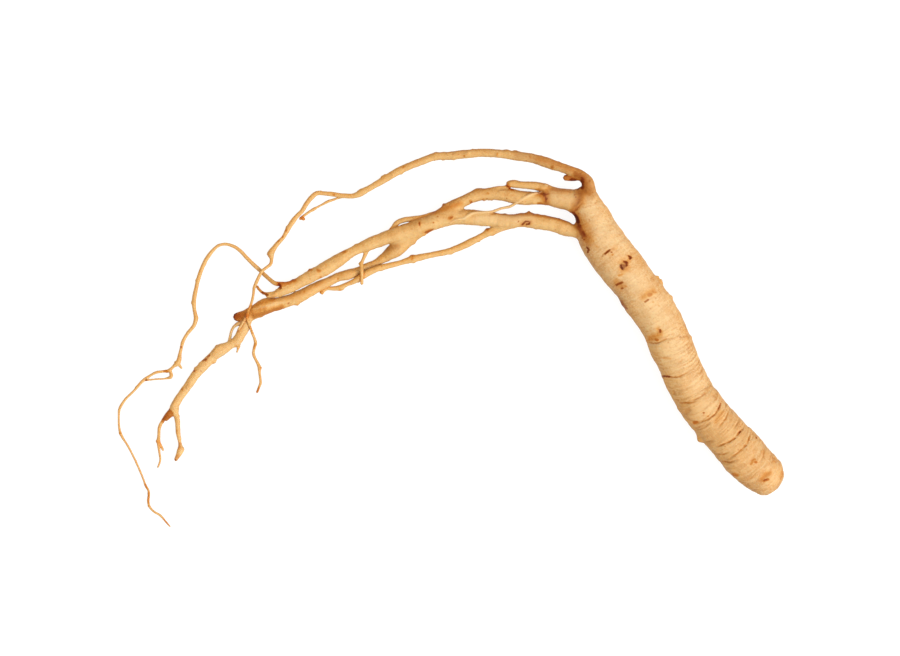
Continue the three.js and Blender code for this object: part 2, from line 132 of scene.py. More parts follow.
# Routes of the strands: x, y, height of the centre line, radius. Each starts where it grows from.
ROUTES = {
    "main_body": (
        (41.1, 46, 7.7, 1.6), (41.2, 44, 7.6, 2.1), (41.3, 42.4, 7.4, 2.95), (41.4, 40.8, 7.1, 3.9),
        (41.7, 38.7, 6.9, 4.65), (42.8, 35.6, 6.6, 5.5), (43.9, 32.2, 6.3, 6.2),
        (45.3, 29.3, 6.4, 6.65), (49.4, 23.3, 6.5, 6.8), (53, 18.8, 6.5, 6.65),
        (55.2, 15.9, 6.4, 6.55), (57.4, 12.7, 6.4, 6.6), (60.7, 7.9, 6.4, 6.5),
        (63.2, 4, 6.3, 6.45), (66, -2.5, 6.2, 6.55), (68.2, -7.2, 6.2, 6.3), (70.7, -13, 6.2, 6.35),
        (73.2, -17.5, 6.1, 6.25), (75.2, -20.5, 6.4, 6.55), (78.3, -24.4, 6.3, 6.45),
        (83.2, -29.9, 6.5, 6.6), (85.9, -32.8, 6.6, 6.8), (88.7, -36.1, 6.6, 6.8),
        (91.5, -38.8, 6.4, 6.6), (93.4, -40.5, 6.2, 6.35), (95.1, -42.2, 6.1, 5.75),
        (96.8, -43.9, 6, 4.4), (97.6, -44.7, 6, 2.9), (98, -45.1, 6, 1.2),
    ),
    "upper_branch": (
        (41.3, 42.8, 7.5, 2), (41.2, 45.4, 7.8, 1.9), (40.8, 46.9, 8, 1.8), (39.8, 48, 8.1, 1.6),
        (38, 49.1, 8.1, 1.5), (35, 50.3, 8, 1.4), (31, 51.7, 7.6, 1.5), (28, 52.7, 7.3, 1.55),
        (25, 53.6, 6.9, 1.45), (20, 54.4, 6.3, 1.4), (15, 55.1, 5.7, 1.3), (10, 55.4, 5.1, 1.25),
        (5, 55.1, 4.6, 1.25), (0, 54.6, 4.1, 1.25), (-5, 54.2, 3.6, 1.15), (-10, 52.4, 3.1, 1.1),
        (-15, 50.3, 2.6, 1.1), (-20, 47.4, 2.1, 1), (-25, 44.5, 1.7, 0.95), (-27, 43.4, 1.5, 1.05),
        (-29, 42.6, 1.3, 0.8), (-32, 42.6, 1.1, 0.7), (-35, 43, 0.9, 0.7), (-38, 43.3, 0.8, 0.65),
        (-40, 43.4, 0.7, 0.7), (-42, 41.8, 0.7, 0.75), (-43.3, 40.1, 0.7, 0.7),
        (-44.6, 38, 0.7, 0.65), (-46.1, 36.5, 0.7, 0.65), (-47.3, 35, 0.75, 0.75),
        (-49, 32.2, 0.7, 0.7), (-50.2, 30.1, 0.7, 0.6), (-51.6, 28.6, 0.7, 0.65),
        (-52.9, 27, 0.8, 0.75), (-53.9, 25.2, 1, 1), (-53.7, 23.6, 1.3, 0.55),
        (-54, 22.1, 1.8, 0.5), (-55.2, 21.1, 2.2, 0.45), (-56.5, 20, 2.4, 0.5),
        (-57.5, 18.3, 2.5, 0.5), (-58.3, 16.5, 2.7, 0.5), (-58.9, 15, 2.9, 0.45),
        (-59.1, 13.3, 3.4, 0.4), (-59.4, 11.5, 3.9, 0.4), (-60, 9.5, 4.2, 0.38),
        (-60.7, 7.8, 4.4, 0.4), (-61, 6.3, 4.4, 0.45), (-60.6, 4.8, 4.1, 0.4), (-60, 3, 3.1, 0.35),
        (-59.5, 1.5, 2.1, 0.4), (-58.8, -0.3, 1.3, 0.4), (-58.5, -1.5, 0.9, 0.5),
        (-58.9, -3, 0.7, 0.42), (-59.1, -4.9, 0.5, 0.45), (-58.3, -6.8, 0.5, 0.42),
        (-57.5, -8.5, 0.5, 0.5), (-57.3, -10.5, 0.4, 0.38), (-57.1, -12.2, 0.4, 0.38),
        (-57, -13.6, 0.4, 0.4), (-57.5, -14.9, 0.4, 0.36), (-58.2, -16.7, 0.4, 0.35),
    ),
    "branch_stub": ((39.4, 48.2, 7.9, 1), (36.8, 47.9, 7.6, 1), (33.6, 47.9, 7.3, 0.8)),
    "branch_twig": (
        (-31, 42.7, 1, 0.4), (-33.5, 42, 0.6, 0.35), (-35, 41.5, 0.4, 0.35),
        (-36.8, 40.9, 0.4, 0.45), (-38.6, 39.9, 0.35, 0.32), (-40.5, 38.9, 0.35, 0.33),
        (-42.2, 37.9, 0.35, 0.38), (-44, 36.6, 0.35, 0.38), (-45.4, 35.4, 0.35, 0.38),
    ),
    "twig_fork": ((-45, 36.5, 0.4, 0.4), (-44.5, 35.9, 0.45, 0.55), (-43.6, 35.4, 0.35, 0.35)),
    "middle_root": (
        (40.2, 41, 6.9, 2.8), (38.8, 41.2, 6.9, 3.3), (37, 41, 6.8, 3.4), (35, 41.4, 6.7, 3.2),
        (32, 41.9, 6.5, 3), (30, 42.1, 6.4, 2.7), (27.6, 41.9, 6.2, 2.1), (25, 41.8, 6.1, 1.95),
        (20, 42.1, 5.9, 2.15), (18, 42.6, 5.8, 2.1), (16, 42.9, 5.6, 2), (12, 43.1, 5.3, 1.8),
        (8, 42.7, 5, 1.75), (4, 41, 4.8, 1.65), (0, 38.8, 4.5, 2), (-3, 36.8, 4.3, 1.8),
        (-5, 35.4, 4.2, 1.6),
    ),
    "middle_side_tube": (
        (31, 43.9, 6.6, 1.2), (28.5, 44.8, 6.6, 1.3), (25, 45.5, 6.5, 1.25), (21, 45.8, 6.3, 1.1),
        (18.9, 46.1, 6.2, 1.15), (18.1, 46.1, 6.2, 1.1), (17, 45.3, 6, 0.65), (14, 44.9, 5.9, 0.5),
        (11, 44.1, 5.7, 0.5), (8, 43.2, 5.4, 0.5),
    ),
    "middle_back_strand": (
        (-3, 37.3, 4.3, 0.9), (-5, 37.1, 4.2, 0.75), (-9, 36, 3.9, 0.75), (-12, 35.6, 3.7, 0.8),
        (-14, 35.3, 3.6, 0.8), (-15.3, 34.9, 3.6, 0.8), (-16.3, 34.2, 3.6, 0.8),
        (-17.1, 33.1, 3.6, 0.8), (-18.1, 31.8, 3.7, 0.8),
    ),
    "crossing_thread": (
        (27, 43.4, 7.3, 0.4), (25, 43.1, 7.5, 0.4), (23, 42.4, 7.9, 0.4), (21, 41.2, 7.8, 0.4),
        (19.5, 40.3, 7.2, 0.4), (18, 39.4, 6.6, 0.4), (15, 38.7, 6.3, 0.4), (12.5, 37.8, 6.3, 0.4),
        (9, 37.5, 6.5, 0.4), (6.2, 37.2, 6.9, 0.38), (5, 36.5, 7.1, 0.38), (3.9, 35.7, 7.1, 0.36),
        (2.4, 35.5, 7.2, 0.32), (0.8, 35, 6.9, 0.3), (-0.6, 34.1, 6.3, 0.25),
    ),
    "lower_root": (
        (43, 32, 6.6, 2.6), (39, 32, 6.5, 2.3), (36.5, 32.1, 6.4, 1.95), (34, 32.9, 6.2, 2.2),
        (31, 33.9, 6.1, 2.2), (28, 34.5, 6, 2.25), (25, 35, 5.8, 2.2), (22, 35.3, 5.7, 2.05),
        (18, 35, 5.5, 2), (14, 35.3, 5.2, 2.1), (10, 35.8, 5, 2.3), (6, 36.1, 4.9, 2.3),
        (-1, 35.9, 4.6, 2.4), (-6, 34.4, 4.3, 2.4), (-9, 33.4, 4.2, 2.5), (-12, 32.4, 4.1, 2.3),
        (-16, 31, 4, 2.35), (-20, 29.7, 3.9, 2), (-24, 28.2, 3.8, 1.9), (-28, 26.5, 3.7, 1.5),
        (-30, 25.5, 3.6, 1.55), (-33, 23.6, 3.6, 1.95), (-38, 20.5, 3.6, 2.05),
        (-41, 18.9, 3.5, 1.9), (-44, 17.3, 3.5, 1.8), (-47, 15.7, 3.5, 1.65), (-50, 14.2, 3.6, 1.5),
        (-53, 13, 3.7, 1), (-55.6, 12.8, 3.7, 0.8),
    ),
    "broken_stump": ((-46.8, 16.4, 3.9, 0.8), (-48.6, 16.2, 4.2, 0.75), (-51.4, 15.7, 4.2, 0.8)),
    "floor_root": (
        (-8, 33.1, 3.9, 1.7), (-12.5, 29.4, 2.7, 1.9), (-16.5, 26.4, 2.1, 2.3),
        (-19.8, 24.1, 1.5, 1.5), (-22.5, 22.4, 1.1, 1.1), (-25.5, 21.3, 1, 1),
        (-28, 19.9, 1.2, 1.25), (-31, 18.9, 1.5, 1.55), (-34, 18.1, 1.3, 1.35),
        (-37, 16.65, 1.4, 1.4), (-40, 15.3, 1.45, 1.54), (-43, 13.65, 1.7, 1.75),
        (-46, 12.05, 1.8, 1.85), (-49, 11, 1.7, 1.77), (-52, 10.1, 1.8, 1.95),
        (-55, 9.6, 2.2, 2.35), (-58, 8.2, 2.1, 2.2), (-61, 6.8, 1.8, 1.8), (-63.5, 6.3, 1.8, 1.4),
        (-65.3, 6.2, 1.7, 0.8),
    ),
    "side_rootlet": (
        (18.5, 34.2, 4.8, 1.2), (14.5, 32.7, 4.3, 1.1), (12, 31.8, 4, 1.15), (10, 30.8, 3.7, 1),
        (5, 28.2, 3.1, 1.1), (0, 26.1, 2.7, 0.95), (-3, 25.4, 2.6, 0.9), (-7, 24.6, 2.5, 0.9),
        (-11, 23.7, 2.5, 1.1), (-15, 22.5, 2.4, 0.8), (-19, 21.5, 2.4, 0.9), (-22, 20.7, 2.5, 0.95),
        (-25, 19.4, 2.5, 1), (-27.5, 17.8, 2.2, 0.95), (-29.5, 16.7, 1.7, 0.75),
        (-31, 16.1, 1.3, 0.65), (-33, 15.1, 0.9, 0.8), (-35, 14.8, 0.8, 0.65),
        (-37, 14.8, 0.7, 0.6), (-39.2, 13.5, 0.6, 0.5),
    ),
    "crossing_twig": (
        (-25, 26.6, 3.6, 0.7), (-25.6, 25, 3.2, 0.6), (-26.1, 23.8, 3.1, 0.5),
        (-26.6, 22.5, 3.2, 0.5), (-26.7, 21, 3.6, 0.55), (-26.6, 19.5, 3.8, 0.55),
        (-26.6, 18, 3.4, 0.5), (-26.6, 15.8, 2.8, 0.45),
    ),
    "tip_twig": (
        (-55, 13, 3.7, 0.45), (-56.7, 13.8, 3.2, 0.4), (-57.5, 14.6, 2.6, 0.4),
        (-58.2, 15.7, 1.9, 0.4),
    ),
    "diagonal_root": (
        (-60.6, 7.2, 2.6, 1.1), (-61.2, 5, 2.2, 1.5), (-61.8, 3.2, 1.7, 1.6),
        (-62.9, 1.1, 1.6, 1.5), (-63.9, -0.6, 1.5, 1.45), (-66, -2.1, 1.2, 1.3),
        (-69.2, -3.9, 1.7, 1.8), (-71.4, -5.7, 1.4, 1.45), (-74.1, -8.4, 1.4, 1.5),
        (-76.1, -10.6, 1.3, 1.35), (-78.2, -13.6, 1.2, 1.3), (-80.4, -16.7, 1.1, 1.2),
        (-82.2, -19.3, 1.1, 1.2), (-82.9, -21.2, 1.3, 1.3), (-82.4, -22.8, 0.9, 0.9),
        (-82, -24.5, 0.8, 0.8), (-81.7, -28.5, 0.7, 0.7), (-81.1, -32.2, 0.6, 0.62),
        (-81, -33.5, 0.8, 1), (-81.5, -34.8, 0.7, 0.85), (-82.1, -35.9, 0.6, 0.6),
        (-82.6, -37, 0.5, 0.5),
    ),
    "fork_stump": (
        (-82.6, -21.2, 1.2, 1), (-83.8, -22.4, 1.1, 1.15), (-84.9, -23.5, 0.9, 1),
        (-86, -24.8, 0.6, 0.75),
    ),
    "fork_rootlet": (
        (-85.3, -24, 0.6, 0.5), (-86, -24.6, 0.5, 0.45), (-86.9, -25.8, 0.45, 0.5),
        (-87.4, -27.2, 0.45, 0.5), (-87.5, -29, 0.45, 0.45), (-87.6, -31.2, 0.5, 0.55),
        (-87.4, -34, 0.35, 0.33), (-87.1, -36.8, 0.3, 0.3), (-87.9, -39.1, 0.3, 0.25),
    ),
    "fork_spur": ((-87.5, -31.2, 0.5, 0.4), (-86.7, -32.7, 0.4, 0.35), (-86.1, -34, 0.35, 0.3)),
    "bridge_twig": (
        (-62.4, 4.5, 2.6, 0.6), (-63.7, 4.2, 2.4, 0.6), (-64.9, 3.4, 1.9, 0.45),
        (-65.8, 1.8, 1.1, 0.4), (-66.1, 0.4, 0.9, 0.4), (-66.5, -1.2, 1, 0.4),
    ),
    "diagonal_spur": ((-63.6, -2.2, 0.9, 0.35), (-63.8, -3.4, 0.5, 0.3), (-64.2, -4.6, 0.35, 0.25)),
    "overlying_twig": ((-61, 6.6, 4.3, 0.4), (-62.2, 4.6, 3.8, 0.35), (-63.8, 2.2, 2.6, 0.35)),
    "loop_rootlet": (
        (-50.2, 16.2, 4.2, 0.65), (-52.5, 16.3, 3.9, 0.65), (-54, 17.3, 3, 0.6),
        (-55.5, 18.6, 1.8, 0.6), (-56.8, 19.9, 0.9, 0.6), (-58.6, 21.5, 0.6, 0.6),
        (-61.6, 24.5, 0.55, 0.55), (-63.1, 26.1, 0.55, 0.55), (-65, 27.4, 0.5, 0.5),
        (-67.5, 28.1, 0.45, 0.45), (-69.5, 27.7, 0.45, 0.45), (-71.4, 26.1, 0.5, 0.55),
        (-73, 24, 0.6, 0.6), (-74.9, 20, 0.6, 0.6), (-76.3, 15, 0.6, 0.6), (-77, 10.5, 0.6, 0.65),
        (-76.8, 8, 0.5, 0.55), (-76.4, 6, 0.6, 0.65), (-76.8, 4.1, 0.6, 0.6),
        (-78.9, 1.3, 0.5, 0.5), (-80, -0.5, 0.5, 0.5), (-81.1, -4.4, 0.5, 0.5),
        (-81.9, -7.6, 0.7, 0.75), (-83, -8.5, 0.5, 0.5), (-84.3, -9.7, 0.45, 0.45),
        (-86.4, -10.1, 0.4, 0.38), (-88.4, -10.4, 0.4, 0.4), (-90.2, -11.4, 0.4, 0.38),
        (-92.2, -12.8, 0.4, 0.45), (-94.8, -15.7, 0.35, 0.35), (-97.9, -18.9, 0.35, 0.4),
        (-99.4, -21.7, 0.35, 0.4), (-99.55, -24.5, 0.35, 0.33), (-98.9, -28.9, 0.35, 0.4),
        (-96.8, -32.4, 0.3, 0.3), (-94.2, -37.6, 0.3, 0.28), (-93, -40.3, 0.3, 0.3),
        (-92.1, -42.6, 0.3, 0.28), (-91.5, -44.3, 0.35, 0.34), (-90.6, -45.9, 0.35, 0.36),
        (-90.5, -47.2, 0.35, 0.38), (-90.7, -49, 0.35, 0.36), (-90.4, -50.4, 0.35, 0.38),
        (-88.9, -52.2, 0.35, 0.33), (-87.3, -53.1, 0.35, 0.33), (-85.4, -55.2, 0.3, 0.25),
        (-84, -56.8, 0.3, 0.2),
    ),
    "loop_spur": ((-81.8, -7.6, 0.6, 0.5), (-81.2, -8.4, 0.5, 0.4), (-80.5, -9.4, 0.4, 0.3)),
    "loop_side_thread": (
        (-84.2, -9.5, 0.45, 0.4), (-83.9, -11.7, 0.5, 0.55), (-85.4, -12.2, 0.35, 0.3),
        (-88, -12.4, 0.3, 0.25), (-91.5, -12.7, 0.3, 0.28),
    ),
}

NAMES = list(ROUTES)

# Sides round each strand and the distance between its rings.
BODY_GRID = (132, 0.3)
THICK_GRID = (32, 0.42)
BRANCH_GRID = (18, 0.42)
THIN_GRID = (12, 0.4)
GRIDS = {
    "main_body": BODY_GRID,
    "middle_root": THICK_GRID,
    "lower_root": THICK_GRID,
    "floor_root": THICK_GRID,
    "diagonal_root": (24, 0.4),
    "upper_branch": (20, 0.42),
    "side_rootlet": BRANCH_GRID,
    "middle_side_tube": BRANCH_GRID,
    "branch_stub": BRANCH_GRID,
    "broken_stump": BRANCH_GRID,
    "fork_stump": BRANCH_GRID,
}

# Strands, what grew together with each, and how wide the hollow between them is filled.
FORKS = {
    "main_body": {"upper_branch": 0.5, "middle_root": 2.2, "lower_root": 0.9},
    "upper_branch": {"middle_root": 0.7, "branch_stub": 0.5, "branch_twig": 0.3},
    "branch_twig": {"twig_fork": 0.2},
    "middle_root": {
        "middle_side_tube": 0.6, "lower_root": 1.2, "middle_back_strand": 0.6,
        "crossing_thread": 0.3,
    },
    "lower_root": {
        "middle_back_strand": 0.2, "crossing_thread": 0.3, "broken_stump": 0.5, "floor_root": 1.2,
        "side_rootlet": 1.0, "crossing_twig": 0.6, "tip_twig": 0.4,
    },
    "broken_stump": {"loop_rootlet": 0.3},
    "floor_root": {"diagonal_root": 0.9, "side_rootlet": 0.2},
    "diagonal_root": {"fork_stump": 0.6, "bridge_twig": 0.5, "diagonal_spur": 0.3},
    "fork_stump": {"fork_rootlet": 0.3},
    "fork_rootlet": {"fork_spur": 0.25},
    "loop_rootlet": {"loop_spur": 0.3, "loop_side_thread": 0.3},
}

# Left of this x the two strands of a fork only lie side by side.
FORK_ENDS = {("lower_root", "floor_root"): -24.0}

# Creases in the skin's upper side: depth, half width, darkness, and the line in plan.
CREASES = (
    (0.17, 0.27, 0.8, (45, 24.3), (46, 25.4), (47.5, 26.3), (48.6, 26.8)),
    (0.12, 0.27, 0.6, (36.2, 37.2), (37.8, 38.6), (39.4, 40.4)),
    (0.12, 0.27, 0.5, (36.6, 39.2), (37.8, 40.2), (38.8, 41.4)),
    (0.11, 0.27, 0.5, (57.8, 10.6), (59.2, 11.6), (60.5, 12.3)),
    (0.09, 0.27, 0.5, (49.5, 15.5), (51.3, 16.6)),
    (0.22, 0.27, 0.8, (58.8, -1.4), (60.5, -1.7), (61.8, -1.6), (63, -1), (64.3, -0.4), (66, 0.1)),
    (0.075, 0.27, 0.35, (64.3, -4.4), (65.3, -3.9), (67, -4.5)),
    (0.11, 0.27, 0.5, (67.3, -8.3), (68.3, -7.4), (70.2, -6)),
    (0.19, 0.27, 0.75, (63.6, -11.4), (64.5, -11.6), (66, -11.8), (68, -11.7), (71.5, -10.1)),
    (0.09, 0.27, 0.5, (75, -12.6), (76, -12)), (0.15, 0.32, 0.6, (71, -19), (74, -18), (77, -15.8)),
    (0.11, 0.32, 0.5, (67.2, -19.3), (71, -19.5), (74.5, -18.8)),
    (0.22, 0.27, 0.85, (73.4, -25.9), (77, -24.3), (79, -22.8), (80.3, -20.8), (81.1, -19.2)),
    (0.17, 0.27, 0.6, (79.6, -27.2), (82.3, -24), (83.5, -21.2)),
    (0.15, 0.32, 0.4, (84, -28), (85.7, -25.5), (86.2, -23.4)),
    (0.17, 0.27, 0.7, (75.8, -31.3), (78.5, -30.8)),
    (0.22, 0.27, 0.85, (79, -32.8), (83, -31.2), (84.8, -30), (86.3, -28.2), (88, -26.3)),
    (0.15, 0.27, 0.65, (78.8, -34.6), (81.5, -34.8), (83, -34.2)),
    (0.21, 0.27, 0.8, (83.7, -35.8), (87.2, -33.2), (88.7, -31.5), (89.9, -27.7)),
    (0.17, 0.27, 0.75, (80.7, -37), (83.5, -37.2), (85.5, -36.4)),
    (0.15, 0.27, 0.6, (92.5, -36.8), (93.5, -35.3), (93.8, -32)),
    (0.075, 0.32, 0.3, (95.2, -38.6), (96.4, -36.6), (96.2, -34.6)),
    (0.11, 0.27, 0.6, (28, 40), (28.4, 41.6), (29.3, 42.8)),
    (0.11, 0.27, 0.6, (26.2, 43.6), (27.6, 43.1), (29.5, 42.8)),
    (0.09, 0.27, 0.5, (-7.8, 31.7), (-6.8, 32.4), (-5.3, 32.6)),
)
